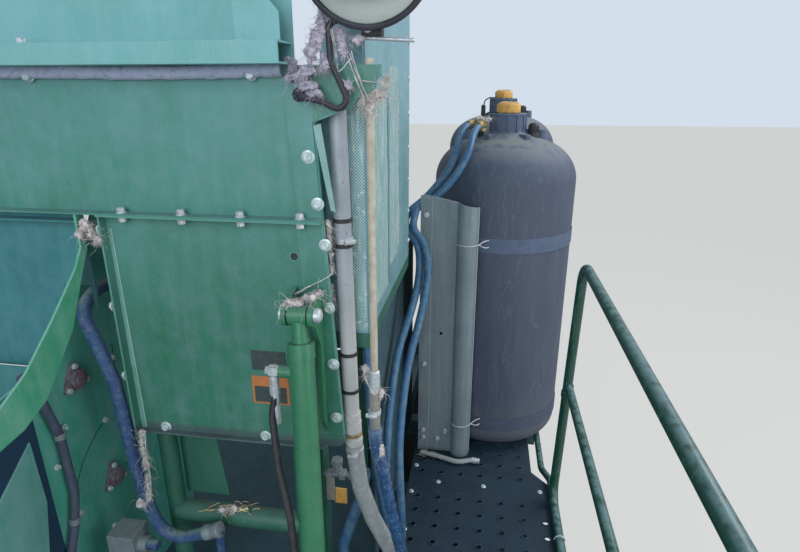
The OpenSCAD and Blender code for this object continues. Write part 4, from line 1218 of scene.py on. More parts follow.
@dataclass(frozen=True)
class Fastener:
    """Flange bolt with its hexagon head.

    Attributes:
        flange: Radius of the round flange in millimetres.
        head: Radius of the hexagon over its corners.
        height: Height of the whole head.
    """

    flange: float = 13.0
    head: float = 9.5
    height: float = 10.0

    def model(self) -> Piece:
        """Models one bolt head that stands on Z = 0.

        Returns:
            The head at the origin.
        """
        rim = Bench.turned("flange", [
            (self.flange * 0.94, -0.5), (self.flange, 0.8),
            (self.flange * 0.97, 2.2), (self.flange * 0.72, 3.2)], 20)
        head = Bench.turned("head", [
            (self.head, 2.5), (self.head, self.height - 1.6),
            (self.head * 0.86, self.height), (self.head * 0.55, self.height),
            (self.head * 0.5, self.height - 0.8)], 6)
        return Bench.bevelled(Bench.join("bolt", [rim, head]), 0.4, 1)


@dataclass(frozen=True)
class HousingDress(Assembly):
    """Fasteners, seal, screens and marks on the housing.

    Attributes:
        face: Y of the panels' rear faces.
        strip: Y of the doubling strips' rear faces.
        joint: Height of the joint between the panels.
    """

    face: float = 0.0
    strip: float = -4.0
    joint: float = 1228.0

    def build(self) -> None:
        """Sets all the housing's small pieces."""
        self.bolts()
        self.seal()
        self.plates()
        self.marks()
        self.window()
        self.rivets()

    def bolts(self) -> None:
        """Sets the bolts of the strips, the joint and the flanges."""
        turn = random.Random(4)
        strips = [(-128, 1365), (-112, 1264), (-99, 1172), (-97, 1021), (-92, 876), (-90, 728)]
        spots = [(place(x, self.strip, z), BACK, turn.uniform(0, 1)) for x, z in strips]
        spots += [(place(x, self.face, z), BACK, turn.uniform(0, 1))
                  for x, z in [(-282, 652), (-560, 652)]]
        spots += [(place(-635, -18, z), -OUT, turn.uniform(0, 1))
                  for z in (1191, 1000, 810)]
        self.issue(Bench.copied("panel_bolts", Fastener(15, 10, 10).model(), spots), "bolt")
        rows = [-576, -429, -288, -150]
        heads = [(place(x, -17, self.joint + 4), UP, turn.uniform(0, 1)) for x in rows]
        nuts = [(place(x, -17, self.joint - 4.3), -UP, turn.uniform(0, 1)) for x in rows]
        self.issue(Bench.copied("joint_bolts", Fastener(12, 9.5, 13).model(),
                                heads + nuts), "zinc")
        self.issue(Bench.copied("seal_bolts", Fastener(11, 9, 16).model(), [
            (place(x, -7, z), BACK, turn.uniform(0, 1))
            for x, z in [(-749, 1527), (-238, 1528)]]), "zinc")
        self.issue(Bench.copied("ledge_bolts", Fastener(13, 10, 12).model(), [
            (place(x, -52, 1590), UP, turn.uniform(0, 1)) for x in (-713, -233)]), "zinc")

    def seal(self) -> None:
        """Hangs the padded seal under the ledge, lower towards its middle."""
        rows = [(-1030, 12), (-860, 14), (-640, 18), (-480, 22), (-330, 20), (-210, 15),
                (-168, 11)]
        obj = Bench.swept("ledge_seal", Route(tuple(
            (x, -6 - drop * 0.25, 1546 - drop * 0.55) for x, drop in rows), 300).even(6),
            14, 16)
        puff = bpy.data.textures.new("seal_puff", "CLOUDS")
        puff.noise_scale = 20 * MM
        self.issue(Bench.worked(obj, "DISPLACE", texture=puff, strength=6 * MM), "seal")

    def plates(self) -> None:
        """Lays the bare plates on the lower panel, and the dark field of the amber one."""
        for name, key, low, high, proud in (
                ("plate_upper", "plate_dark", (-302, 843), (-213, 896), 1.2),
                ("plate_lower", "plate_amber", (-306, 748), (-210, 826), 1.2),
                ("plate_field", "plate_dark", (-300, 753), (-216, 798), 1.7)):
            obj = Bench.slab(name, place(low[0], -proud, low[1]), place(high[0], 0.2, high[1]))
            self.issue(Bench.bevelled(obj, 6, 5, 30), key)

    def sheet(self, name: str, key: str, y: float,
              fields: Sequence[Sequence[tuple[float, float]]], depth: float = -0.6) -> None:
        """Lays thin four-cornered sheets as one piece on a plane that faces the rear.

        Args:
            name: Name of the piece.
            key: Name of its finish.
            y: Place of the plane.
            fields: Corners of each sheet, across and up.
            depth: How far it stands out, which is negative towards the rear.
        """
        sheets = [Bench.patch(name, [place(x, y, z) for x, z in corners],
                              Vector((0, depth, 0))) for corners in fields]
        self.issue(sheets[0] if len(sheets) == 1 else Bench.join(name, sheets), key)

    def marks(self) -> None:
        """Lays the gusset's face, a rubbed fold, painted light on a fold and a flange edge, and
        sheets of painted shade by the brace.
        """
        self.sheet("corner_gusset", "gusset", -4.1, (
            ((-113, 1437), (20, 1502), (30, 1547), (-112, 1547)),))
        # Painted light: a paler strip where the panel's return fold catches the light
        self.sheet("lit_fold", "painted_light_fold", -4.2, (
            ((-114, 1428), (-97, 1434), (-72, 1247), (-83, 1250)),), -0.9)
        self.sheet("left_fold", "rubbed", -0.1, (
            ((-634, 1190), (-622, 1190), (-617, 628), (-634, 628)),))
        # Painted shade: dark sheets where the brace shades the left panel's notch
        self.sheet("notch_shade", "shade", -0.3, (
            ((-703.2, 975.2), (-691.5, 975.2), (-691.5, 1206), (-703.2, 1206)),
            ((-750, 1043.2), (-703.3, 1043.2), (-703.3, 1139), (-714, 1139))))
        # Painted highlight along the lower panel's flange edge
        self.sheet("left_crease", "bare_edge", -0.6, (
            ((-623, 1190), (-621, 1190), (-616, 628), (-618, 628)),))
        self.issue(Bench.slab("left_apron", place(-1038, -23, 540),
                              place(-812, -20.5, 812)), "panel_blue")
        seams = [Bench.swept("seam", [place(-804.6, y, z) for y, z in line], 1.1, 8)
                 for line in (((75, 594), (40, 585), (0, 560), (-36, 530), (-60, 500),
                               (-70, 470)),
                              ((160, 800), (152, 700), (143, 600)))]
        self.issue(Bench.join("plate_seams", seams), "dark_seam_and_painted_shade")
        # Painted shade: a dark sheet on the side plate below the brace
        dark_seam_and_painted_shade = Bench.patch("plate_hollow", [place(-804.9, y, z) for y, z in (
            (-344, 200), (-146, 200), (-152, 770), (-344, 770))], Vector((0.6, 0, 0)))
        self.issue(dark_seam_and_painted_shade, "dark_seam_and_painted_shade")

    def window(self) -> None:
        """Lays the woven screens, the lint on the wall's edge and the hole's plug."""
        mesh = [Bench.slab("window", place(-22.1, 115, 960), place(-20.6, 359, 1479)),
                Bench.slab("return", place(-84, 74.7, 932), place(-24, 76.0, 1478)),
                Bench.slab("side", place(-18.1, 372, 1010), place(-17.2, 526, 1560)),
                Bench.slab("band", place(-18.1, 84, 965), place(-17.3, 112, 1478))]
        self.issue(Bench.swept("lint_on_the_edge", [place(-17.6, y, z) for y, z in (
            (527, 1505), (531, 1380), (526, 1250), (530, 1130), (525, 1030))], 2.2, 8,
            lambda s: 0.9 + 0.5 * math.sin(s / 0.021) * math.sin(s / 0.0077)), "lint")
        self.issue(Bench.join("woven_screen", mesh), "screen")
        plug = Bench.turned("hole_plug", [(16, 0), (16, 4)], 32)
        Bench.settle(plug, place(-175, 8, 1140), BACK)
        self.issue(plug, "band")

    def rivets(self) -> None:
        """Sets the dome rivets down the screen wall's corner post."""
        dome = Bench.turned("rivet", [(7.5, 0), (7.3, 1.8), (5.6, 3.6), (3, 4.6),
                                      (0.8, 4.9)], 16)
        turn = math.radians(18)
        out = Vector((math.cos(turn), math.sin(turn), 0))
        spots = [(place(-112 + 89.6 * out.x, 775 + 89.6 * out.y, z), out, 0.0)
                 for z in range(960, 1941, 88)]
        spots += [(place(-17.8, y, z), OUT, 0.0) for y in (97, 752)
                  for z in range(985, 1941, 110)]
        self.issue(Bench.copied("wall_rivets", dome, spots), "bolt")


@dataclass(frozen=True)
class TankPair(Assembly):
    """The two upright tanks, their caps, tethers, fittings and strap hooks.

    Attributes:
        x: Distance of the tanks' axes from the deck's inboard edge.
        ys: Places of the axes along the deck.
        lifts: How high each tank's pad is raised over the deck.
        radius: Radius of the wall.
        foot: Radius of the rounding at a tank's foot.
        wall: Height where the shoulder starts.
        neck: Height of the neck's foot.
        neck_radius: Radius of the neck.
        neck_height: Height of the neck.
        pad: Height of the pad under a tank.
        cap_radius: Radius of a cap.
        ports: Places of the rear tank's hose ports from its axis.
    """

    x: float = 328.0
    ys: tuple[float, float] = (1210.0, 2090.0)
    lifts: tuple[float, float] = (0.0, 45.0)
    radius: float = 287.5
    foot: float = 85.0
    wall: float = 1150.0
    neck: float = 1335.0
    neck_radius: float = 70.0
    neck_height: float = 76.0
    pad: float = 8.0
    cap_radius: float = 48.0
    ports: tuple[tuple[float, float], ...] = ((-140.0, -50.0), (-100.0, -88.0))

    def build(self) -> None:
        """Makes both tanks with everything that sits on them."""
        for name, y, lift in zip(("rear", "front"), self.ys, self.lifts):
            self.shell(name, y, lift)
            self.cap(name, y, lift)
        self.hooks()
        self.fittings()
        self.tethers()

    def shell(self, name: str, y: float, lift: float) -> None:
        """Turns one tank's shell and moulds its neck ribs and lugs.

        Args:
            name: Which tank it is.
            y: Place of its axis.
            lift: How high its pad is raised over the deck.
        """
        r, f = self.radius, self.foot
        foot = [(r - f + f * math.cos(math.radians(a)),
                 self.pad + f + f * math.sin(math.radians(a))) for a in range(-90, 1, 6)]
        shoulder = [(r - 190 + 190 * math.cos(math.radians(a)),
                     self.wall + 165 * math.sin(math.radians(a))) for a in range(0, 71, 5)]
        top = self.neck + self.neck_height
        n = self.neck_radius
        neck = [(118, 1318), (92, 1327), (n + 5, self.neck + 1), (n, self.neck + 8),
                (n, top - 9), (n + 5, top - 7), (n + 5, top - 1.5), (n + 3, top), (44, top),
                (42, top - 1), (40.0, top - 1), (40.0, top + 13), (30.0, top + 13.5)]
        base = r - f - 10
        profile = [(base, 0.4 - lift), (base, self.pad)] + foot + shoulder + neck
        parts = [Bench.turned("shell", profile, 128)]
        rib = Bench.slab("rib", Vector((n - 3, -4.5, self.neck + 6)) * MM,
                         Vector((n + 5, 4.5, top - 6)) * MM, 2)
        parts.append(Bench.copied("ribs", rib, [
            (CENTRE, UP, math.radians(30 * k)) for k in range(12)]))
        # Lifting lugs where the shoulder meets the neck
        lug = Bench.slab("lug", Vector((80, -12, 1300)) * MM, Vector((132, 12, 1334)) * MM, 5)
        parts.append(Bench.copied("lugs", lug, [
            (CENTRE, UP, math.radians(a)) for a in (-52, -128, 62, 118)]))
        for px, py in self.ports:
            boss = Bench.turned("boss", [(26, 1235), (22, 1290), (20, 1340), (18, 1345)], 28)
            parts.append(Bench.settle(boss, Vector((px, py, 0)) * MM))
        obj = Bench.join("tank_shell_" + name, parts)
        Bench.smooth(Bench.settle(obj, place(self.x, y, lift)), 32)
        self.issue(obj, "tank", replaces=["tank_" + name])

    def cap(self, name: str, y: float, lift: float) -> None:
        """Moulds one cap with its flat grips and ribbed dome.

        Args:
            name: Which tank it closes.
            y: Place of its axis.
            lift: How high that tank is raised over the deck.
        """
        foot = self.neck + self.neck_height + lift + 0.3
        r = self.cap_radius
        grip = Bench.turned("grip", [(r * 0.96, foot), (r, foot + 2), (r, foot + 31),
                                     (r * 0.95, foot + 34)], 8)
        Bench.bevelled(grip, 3, 3)
        dome = Bench.turned("dome", [(a, foot + b) for a, b in (
            (43, 31), (42.5, 35), (38, 39), (29, 42.5), (18, 44), (6, 44.4))], 40)
        rib = Bench.swept("rib", [Vector((a, 0, foot + b)) * MM for a, b in (
            (41.5, 35.5), (37.5, 39.2), (29, 42.5), (20, 43.8))], 1.2, 8)
        ribs = Bench.copied("ribs", rib, [
            (CENTRE, UP, math.radians(15 * k)) for k in range(24)])
        obj = Bench.join("cap_moulding_" + name, [grip, dome, ribs])
        Bench.smooth(Bench.settle(obj, place(self.x, y, 0)), 40)
        self.issue(obj, "cap", name + "_cap", ["cap_" + name])

    def hooks(self) -> None:
        """Bends the forked wires that pull the straps to the cradle's lip."""
        parts = []
        for z in (941.0, 152.0):
            parts.append(Bench.swept("wire", [place(
                192 + 43 * math.cos(a), 902 + 43 * math.sin(a), z)
                for a in [math.radians(195 + 9 * j) for j in range(18)]], 2.4, 8))
            for tip in (1.0, -1.2):
                parts.append(Bench.swept("prong", Route((
                    (228, 880, z), (238, 892, z + tip), (250, 900, z + 9 * tip),
                    (263, 908, z + 13 * tip), (274, 918, z + 12 * tip)), 7).line(),
                    2.6, 8))
        self.issue(Bench.join("strap_hooks", parts), "zinc")
        # Painted highlight: a bright strip along the cradle's rolled lip
        rim = Bench.slab("lip_edge", place(227, 897.5, 5), place(234, 902.4, 1083), 0.6)
        self.issue(rim, "bare_edge")

    def fittings(self) -> None:
        """Makes the hose fittings on the rear tank."""
        parts = []
        for px, py in self.ports:
            at = place(self.x + px, self.ys[0] + py, 1345)
            body = Bench.turned("body", [(13, 0), (15, 1), (15, 12), (12, 14), (9.5, 16),
                                         (9.5, 26), (13, 27), (13, 39), (10, 41)], 6)
            parts.append(Bench.settle(Bench.bevelled(body, 0.8, 2), at))
        self.issue(Bench.join("port_fittings", parts), "brass")

    def tethers(self) -> None:
        """Ties each cap to a post on its tank and adds the vents."""
        ties = []
        for y, lift in zip(self.ys, self.lifts):
            ring = [place(self.x + 43.5 * math.cos(a), y + 43.5 * math.sin(a), 1413 + lift)
                    for a in [math.radians(10 * j) for j in range(37)]]
            ties.append(Bench.swept("ring", ring, 2.1, 8))
            ties.append(Bench.swept("tie", Route((
                (self.x - 43, y - 8, 1413 + lift), (self.x - 76, y - 12, 1415 + lift),
                (self.x - 100, y - 16, 1402 + lift), (self.x - 108, y - 26, 1372 + lift)),
                24).line(), 3.2, 10))
            ties.append(Bench.settle(Bench.turned("post", [
                (12, 0), (12, 54), (9, 58), (4, 59)], 16),
                place(self.x - 108, y - 26, 1318 + lift)))
            ties.append(Bench.settle(Bench.turned("vent", [
                (26, 0), (24, 30), (20, 46), (22, 50), (22, 72), (16, 80), (6, 82)], 24),
                place(self.x + 104, y - 10, 1292 + lift)))
        self.issue(Bench.smooth(Bench.join("cap_tethers", ties)), "band")


@dataclass(frozen=True)
class RailTubes(Assembly):
    """The hand rail as one bent tube, its middle rail, sleeves and weld beads.

    Attributes:
        foot_x: Distance of the foot runs from the deck's inboard edge.
        top_x: Distance of the top rail.
        foot_z: Height of the foot runs' axis.
        top_z: Height of the top rail's axis.
        mid_z: Height of the middle rail's axis.
        rear: Rear post.
        front: Front post.
        tube: Radius of the bent tube.
    """

    foot_x: float = 563.0
    top_x: float = 585.0
    foot_z: float = 19.8
    top_z: float = 955.0
    mid_z: float = 505.0
    rear: float = -880.0
    front: float = 655.0
    tube: float = 16.5

    def mid_x(self) -> float:
        """Distance of the middle rail from the deck's inboard edge."""
        return self.foot_x + (self.top_x - self.foot_x) * self.mid_z / self.top_z

    def build(self) -> None:
        """Bends the tubes and adds the sleeves, beads, collars and saddles."""
        hoop = Route(((self.foot_x, 100, self.foot_z), (self.foot_x, self.front, self.foot_z),
                      (self.top_x, self.front, self.top_z), (self.top_x, self.rear, self.top_z),
                      (self.foot_x, self.rear, self.foot_z), (self.foot_x, -100, self.foot_z)),
                     70)
        edge = Route(((self.foot_x, 545, self.foot_z), (self.foot_x, 745, self.foot_z),
                      (545, 885, -36.2), (545, 2400, -36.2)), 120)
        mid = self.mid_x()
        tubes = [Bench.swept("hoop", hoop.line(5), self.tube, 28)]
        for name, x, z, rear, front, radius in (
                ("mid", mid, self.mid_z, self.rear, self.front, 14.5),
                ("sleeve", self.foot_x, self.foot_z, -110, 110, 15.2)):
            ends = [place(x, rear, z), place(x, front, z)]
            tubes.append(Bench.swept(name, ends, radius, 28))
        tubes.append(Bench.swept("edge", edge.line(5), 13.5, 24))
        for y, out in ((self.rear, 1.0), (self.front, -1.0)):
            tubes.append(self.bead(place(mid, y + out * 17, self.mid_z), 15.8))
        for y in (-104.0, 104.0):
            tubes.append(self.bead(place(self.foot_x, y, self.foot_z), 16.6))
        for y in (self.rear, self.front):
            tubes.append(Bench.settle(Bench.turned("collar", [
                (16.6, -12), (19.6, -10), (19.6, 10), (16.6, 12)], 32),
                place(mid - 1.0, y, self.mid_z - 38), Vector((0.0233, 0, 1)).normalized()))
        rail = Bench.join("rail_tubes", tubes)
        self.issue(Bench.smooth(rail, 50), "tube", replaces=["hand_rail"])
        self.saddles()

    @staticmethod
    def bead(at: Vector, radius: float) -> Piece:
        """Lays a wavy weld bead round a tube that runs along the deck.

        Args:
            at: Centre of the joint.
            radius: Radius of the bead's ring.

        Returns:
            The bead.
        """
        ring = Bench.started("bead", bpy.ops.mesh.primitive_torus_add,
                             major_radius=radius * MM, minor_radius=2.4 * MM,
                             major_segments=48, minor_segments=8)
        for vertex in ring.data.vertices:
            turn = math.atan2(vertex.co.y, vertex.co.x)
            vertex.co *= 1 + 0.012 * math.sin(17 * turn)
        return Bench.settle(ring, at, AHEAD)

    def saddles(self) -> None:
        """Sets the saddles that hold the foot runs to the deck."""
        r = self.tube + 1.9
        turns = [math.radians(12 * j) for j in range(16)]
        parts = [Bench.swept("saddle", [
            place(self.foot_x + r * math.cos(a), y, self.foot_z + r * math.sin(a))
            for a in turns], 2.2, 8) for y in (-760, -420, -150, 170, 430)]
        self.issue(Bench.join("rail_saddles", parts), "zinc")


@dataclass(frozen=True)
class Hoses(Assembly):
    """Hoses and lines of the section with their bands, clamps and fittings."""

    def build(self) -> None:
        """Lays every hose along its route and dresses it."""
        self.air_line()
        self.tank_hoses()
        self.cylinder_hose()
        self.inner_side()
        self.drain()
        self.tee()

    @staticmethod
    def band(at: Vector, axis: Vector, radius: float, width: float,
             lip: float = 1.2) -> Piece:
        """Makes a clamp band.

        Args:
            at: Centre of the band.
            axis: Direction of the pipe.
            radius: Inner radius.
            width: Width.
            lip: Thickness.

        Returns:
            The band.
        """
        half = width / 2
        ring = Bench.turned("band", [(radius, -half), (radius + lip, -half + lip / 2),
                                     (radius + lip, half - lip / 2), (radius, half)], 32)
        return Bench.settle(ring, at, axis)

    @staticmethod
    def worm(at: Vector, axis: Vector, radius: float, side: Vector) -> list[Piece]:
        """Makes a worm clamp: its band, its housing and the screw's hexagon.

        Args:
            at: Centre of the clamp.
            axis: Direction of the hose.
            radius: Radius of the hose.
            side: Direction in which the housing stands.

        Returns:
            Its pieces.
        """
        across = axis.cross(side).normalized()
        seat = at + side * (radius + 5) * MM
        ring = Hoses.band(at, axis, radius, 12, 1.4)
        box = Bench.slab("box", Vector((-7, -5, -10)) * MM, Vector((7, 5, 10)) * MM, 2)
        screw = Bench.turned("screw", [(6, 0), (6, 8), (4, 9)], 6)
        Bench.settle(box, seat, across)
        Bench.settle(screw, seat + across * 10 * MM, across)
        return [ring, box, screw]

    def air_line(self) -> None:
        """Runs the grey pipe, its ribbed hose, and the wrapped and thin hoses beside it."""
        pipe = Route(((-115.7, 46, 1500), (-75.1, 46, 1500), (-64, 46, 720), (-63, 46, 655),
                      (-60, 51.4, 606)), 30)
        self.issue(Bench.smooth(Bench.swept("air_pipe_tube", pipe.line(5), 20, 36)),
                   "zinc_pipe", replaces=["air_pipe"])
        hose = Route(((-60.6, 50.2, 618), (-58, 56, 560), (-50, 62, 470),
                      (-24, 86, 350), (22, 130, 190), (44, 190, 60), (44, 190, -99.7)), 110)
        ribbed = Bench.swept("ribbed_hose", hose.even(2.2), 22.2, 24, waves((0.03, 0.0088)))
        self.issue(Bench.smooth(ribbed, 60), "hose_grey", replaces=["air_hose"])
        down = Vector((0.0143, 0, -1)).normalized()
        bands = [self.band(place(-64 - 12 * (z - 720) / 840, 46, z), down, 20.3, 10, 2)
                 for z in (1219, 1160, 883, 780)]
        self.issue(Bench.smooth(Bench.join("pipe_bands", bands)), "band",
                   replaces=["pipe_clamps"])
        collars = [self.band(place(-63.8, 46, 706), down, 20.3, 20, 3),
                   self.band(place(-63.4, 46, 676), down, 20.3, 32, 4),
                   self.band(place(-61.4, 49, 632), down, 20.3, 14, 3.6)]
        self.issue(Bench.smooth(Bench.join("pipe_collars", collars)), "zinc_pipe")
        ring = self.band(place(-62.8, 46.4, 652), down, 20.3, 10, 4.2)
        self.issue(Bench.smooth(ring), "brass")
        worms = self.worm(place(-59.9, 51.8, 600), Vector((2.6, 5.8, -58)).normalized(),
                          22.6, Vector((0.2, -1, -0.1)).normalized())
        worms += self.worm(place(-68.6, 46, 1172), down, 20.6, Vector((0.8, -0.6, 0)))
        worms += self.worm(place(4.6, 10, 745), down, 14, Vector((0, -1, 0)))
        self.issue(Bench.smooth(Bench.join("worm_clamps", worms)), "zinc")
        wrapped = Route(((5, 9.4, 699.7), (5, 9.4, 660), (22, 30, 540), (38, 60, 380),
                         (68, 110, 160), (72, 116, 20), (72, 116, -99.7)), 130)
        thin = Route(((-32, 110, 884.7), (-32, 110, 800), (-26, 120, 600), (-12, 156, 380),
                      (-6, 204, 200), (-12, 226, 60), (-12, 226, -99.7)), 90)
        wrap = Bench.swept("film_hose", wrapped.even(3), 17.2, 20,
                           waves((0.018, 0.027), (0.02, 0.0071 * math.tau)))
        self.issue(Bench.smooth(wrap, 60), "hose_wrap", replaces=["wrapped_hose"])
        self.issue(Bench.smooth(Bench.swept("thin_hose", thin.line(6), 13, 18), 60),
                   "hose_blue")
        sleeve = Bench.turned("line_sleeve", [(9.2, -30), (13.2, -27), (13.8, 0), (13.2, 27),
                                              (9.2, 30)], 28)
        self.issue(Bench.smooth(Bench.settle(sleeve, place(5, 8, 830))), "zinc")

    def tank_hoses(self) -> None:
        """Runs the two blue hoses from the rear tank down to the steel block."""
        routes = (Route(((188, 1160, 1372), (144, 1100, 1366), (128, 1016, 1231.9),
                         (30, 978, 1103.2), (-44, 900, 1054.5), (-45, 868, 1001.8),
                         (12, 848, 949.2), (23, 800, 840), (6, 700, 737), (-26, 600, 640),
                         (-30, 480, 560), (-26, 330, 430), (-10, 262, 200), (-10, 262, 60),
                         (-10, 262, -99.7)), 45),
                  Route(((228, 1122, 1370), (196, 1076, 1366), (180, 960, 1251.4),
                         (78, 946, 1111), (-2, 915, 1077.9), (-8, 876, 1056.4),
                         (-16, 856, 1001.8), (39, 838, 953), (58, 790, 845), (38, 680, 708),
                         (12, 580, 600), (8, 450, 500), (14, 320, 400), (34, 262, 200),
                         (34, 262, 60), (34, 262, -99.7)), 45))
        parts = [Bench.swept("hose", r.flow(), 14, 20) for r in routes]
        self.issue(Bench.smooth(Bench.join("blue_hoses", parts), 60), "hose_blue",
                   replaces=["tank_hoses"])
        ferrules = []
        for route in routes:
            foot, above_foot = (place(*point) for point in route.points[:2])
            ferrule = Bench.turned("ferrule", [(10, -10), (16.5, -8), (16.5, 24), (15.6, 26),
                                               (15.6, 30), (14.2, 32)], 24)
            ferrules.append(Bench.settle(ferrule, foot, (above_foot - foot).normalized()))
        self.issue(Bench.smooth(Bench.join("hose_ferrules", ferrules)), "brass")
        low = [Bench.settle(Bench.turned("nut", [
            (19, 0), (21, 2), (21, 20), (16, 24), (14, 45), (12.5, 47)], 6), place(x, y, -100))
            for x, y in ((-10, 262), (34, 262), (72, 116), (44, 190), (-12, 226))]
        self.issue(Bench.bevelled(Bench.join("block_unions", low), 0.8), "zinc")

    def cylinder_hose(self) -> None:
        """Runs the lift cylinder's black hose from its elbow, with the swivel fittings."""
        x, y, z = -189.9, -100.9, 901.1
        foot_x, foot_y = x + 62, -238
        hose = Route((
            (x - 14, y, z - 62), (x - 22, y - 10, z - 112), (x, -150, 680), (x + 37, -192, 571),
            (x + 56, -222, 400), (foot_x, foot_y, 160), (foot_x, foot_y, -10)), 90)
        lift = Bench.swept("lift_hose", hose.line(6), 8.5, 20)
        union = Bench.turned("union", [(12, 0), (13, 2), (13, 22), (10, 24), (10, 36),
                                       (8.5, 38)], 20)
        Bench.settle(union, place(foot_x, foot_y, -46.7))
        self.issue(Bench.smooth(Bench.join("lift_hose", [lift, union]), 60),
                   "hose_black", replaces=["cylinder_hose"])
        elbow = Bench.turned("elbow", [(12.5, 0), (13.5, 2), (13.5, 24), (11, 26), (9, 34)], 6)
        fittings = [Bench.settle(elbow, place(x + 2, y, z), -OUT)]
        for dz, r, h in ((14, 13, 22), (-12, 11, 20), (-36, 12.5, 24), (-62, 10, 26)):
            nut = Bench.turned("nut", [(r * 0.9, 0), (r, 1.5), (r, h - 1.5), (r * 0.9, h)], 6)
            fittings.append(Bench.settle(Bench.bevelled(nut, 0.8),
                                         place(x - 14, y, z - 24 + dz)))
        stem = Bench.turned("stem", [(7.5, -100), (7.8, -20), (7.5, 0)], 20)
        fittings.append(Bench.settle(stem, place(x - 14, y, z + 10)))
        sleeve = Bench.turned("crimp", [(8.5, -52), (11, -50), (11.5, -30), (10.8, -6),
                                        (8.5, 0)], 24)
        fittings.append(Bench.settle(sleeve, place(x - 15, y - 1, z - 84)))
        self.issue(Bench.smooth(Bench.join("lift_fittings", fittings), 30), "zinc")

    def inner_side(self) -> None:
        """Runs the navy hose and the black hose on the inner side plate."""
        navy = Route((
            (-804.7, 300, 1010), (-738, 300, 1010), (-740, 60, 1008), (-731, -20, 985),
            (-700, -20, 889), (-671, -20, 785), (-647, -30, 530), (-627, -30, 400),
            (-600, -30, 318), (-536, -30, 313), (-455, -30, 345)), 60)
        obj = Bench.swept("navy_hose", navy.even(3), 16.8, 22,
                          waves((0.012, 0.011), (0.012, 0.031 * math.tau)))
        tail = Bench.swept("drop", [place(-430, -30, -46.5), place(-430, -30, 352)], 12, 20)
        stub = Bench.swept("stub", [place(-626.7, -60, 305), place(-597, -60, 305)], 15, 20)
        self.issue(Bench.smooth(Bench.join("navy_hose", [obj, tail, stub]), 60),
                   "hose_navy", replaces=["suction_hose"])
        collar = Bench.turned("navy_coupling", [
            (17.5, -4), (21, -2), (21.2, 14), (19.2, 17), (19.2, 28), (21.2, 31), (21, 46),
            (17, 48)], 28)
        Bench.settle(collar, place(-469, -30, 339.5), Vector((44, 0, 17.5)).normalized())
        self.issue(Bench.smooth(collar), "steel_block")
        x = -788.0
        side = Route(((x, -172, 872), (x, -142, 835), (x, -102, 664), (x, -97, 490),
                      (x, -121, 400), (x, -168, 300), (x, -180, 120), (x, -180, -46.7)), 60)
        self.issue(Bench.smooth(Bench.swept("side_line", side.line(6), 11, 20), 60),
                   "hose_slate", replaces=["side_hose"])
        clips = []
        leaning = Vector((0, 0.1, 1)).normalized()
        for y, z in ((-103, 668), (-117, 414)):
            clips.append(self.band(place(x, y, z), leaning, 11.4, 16, 1.8))
            clips.append(Bench.slab("tab", place(x - 17, y + 8, z - 8),
                                    place(x - 13, y + 38, z + 8), 1.2))
        self.issue(Bench.smooth(Bench.join("side_clips", clips)), "steel_block")
        bolt = Fastener(9, 8, 8).model()
        spots = [(place(-797, y + 28, z), OUT, 0.3) for y, z in ((-103, 674), (-117, 414))]
        spots += [(place(-805, y, z), OUT, 0.1 * y) for y, z in (
            (77, 597), (-116, 582), (140, 420), (30, 260), (-150, 250), (150, 760))]
        for by, bz in ((-4, 776), (65, 414)):
            for k in range(3):
                a = math.radians(180 + 120 * k)
                spots.append((place(-795.7, by + 37 * math.sin(a), bz - 37 * math.cos(a)),
                              OUT, 0.4 * k))
        self.issue(Bench.copied("side_bolts", bolt, spots), "bolt")

    def tee(self) -> None:
        """Sets the tee behind the ribbed hose with the thick blue hose that leaves it."""
        thick = Route(((-52, 128, 470), (-60, 130, 392), (-92, 130, 298), (-124, 130, 194),
                       (-130, 130, 60), (-130, 130, -46)), 60)
        self.issue(Bench.smooth(Bench.swept("thick_hose", thick.line(6), 16.5, 22), 60),
                   "hose_blue")
        parts = [Bench.swept("run", [place(-168, 112, 463), place(-52, 112, 466)], 8.5, 16),
                 Bench.swept("stem", [place(-128, 112, 463), place(-128, 112, 506)], 8, 16)]
        for at, axis, r in (((-150, 112, 463), OUT, 15), ((-112, 112, 464), OUT, 17),
                            ((-84, 112, 465), OUT, 15), ((-128, 112, 482), UP, 15),
                            ((-128, 112, 506), UP, 17), ((-60, 120, 455), OUT, 20)):
            nut = Bench.turned("nut", [(r * 0.9, -9), (r, -7), (r, 7), (r * 0.9, 9)], 6)
            parts.append(Bench.settle(Bench.bevelled(nut, 0.8), place(*at), axis))
        self.issue(Bench.join("hose_tee", parts), "steel_block")
        tag = Bench.slab("yellow_cover", place(-142, 122, 352), place(-106, 128, 404), 2)
        self.issue(tag, "cap")
        ear = Bench.slab("tan_bracket", place(-166, 116, 366), place(-140, 121, 456), 1)
        self.issue(ear, "tan_line")

    def drain(self) -> None:
        """Lays the short drain hose at the rear tank's foot."""
        route = Route((
            (30, 852, 16.3), (100, 836, 16.3), (190, 806, 16.3), (250, 829, 16.3)), 60)
        obj = Bench.swept("drain_line", route.line(6), 9.8, 18)
        self.issue(Bench.smooth(obj, 60), "hose_grey", replaces=["drain_hose"])
        end = Bench.turned("union", [(9.5, 0), (12.8, 2), (12.8, 20), (11.2, 22), (11.2, 34),
                                     (9, 36)], 6)
        self.issue(Bench.settle(Bench.bevelled(end, 0.8), place(246, 829, 16.3),
                                Vector((36, -3, 0)).normalized()), "zinc")


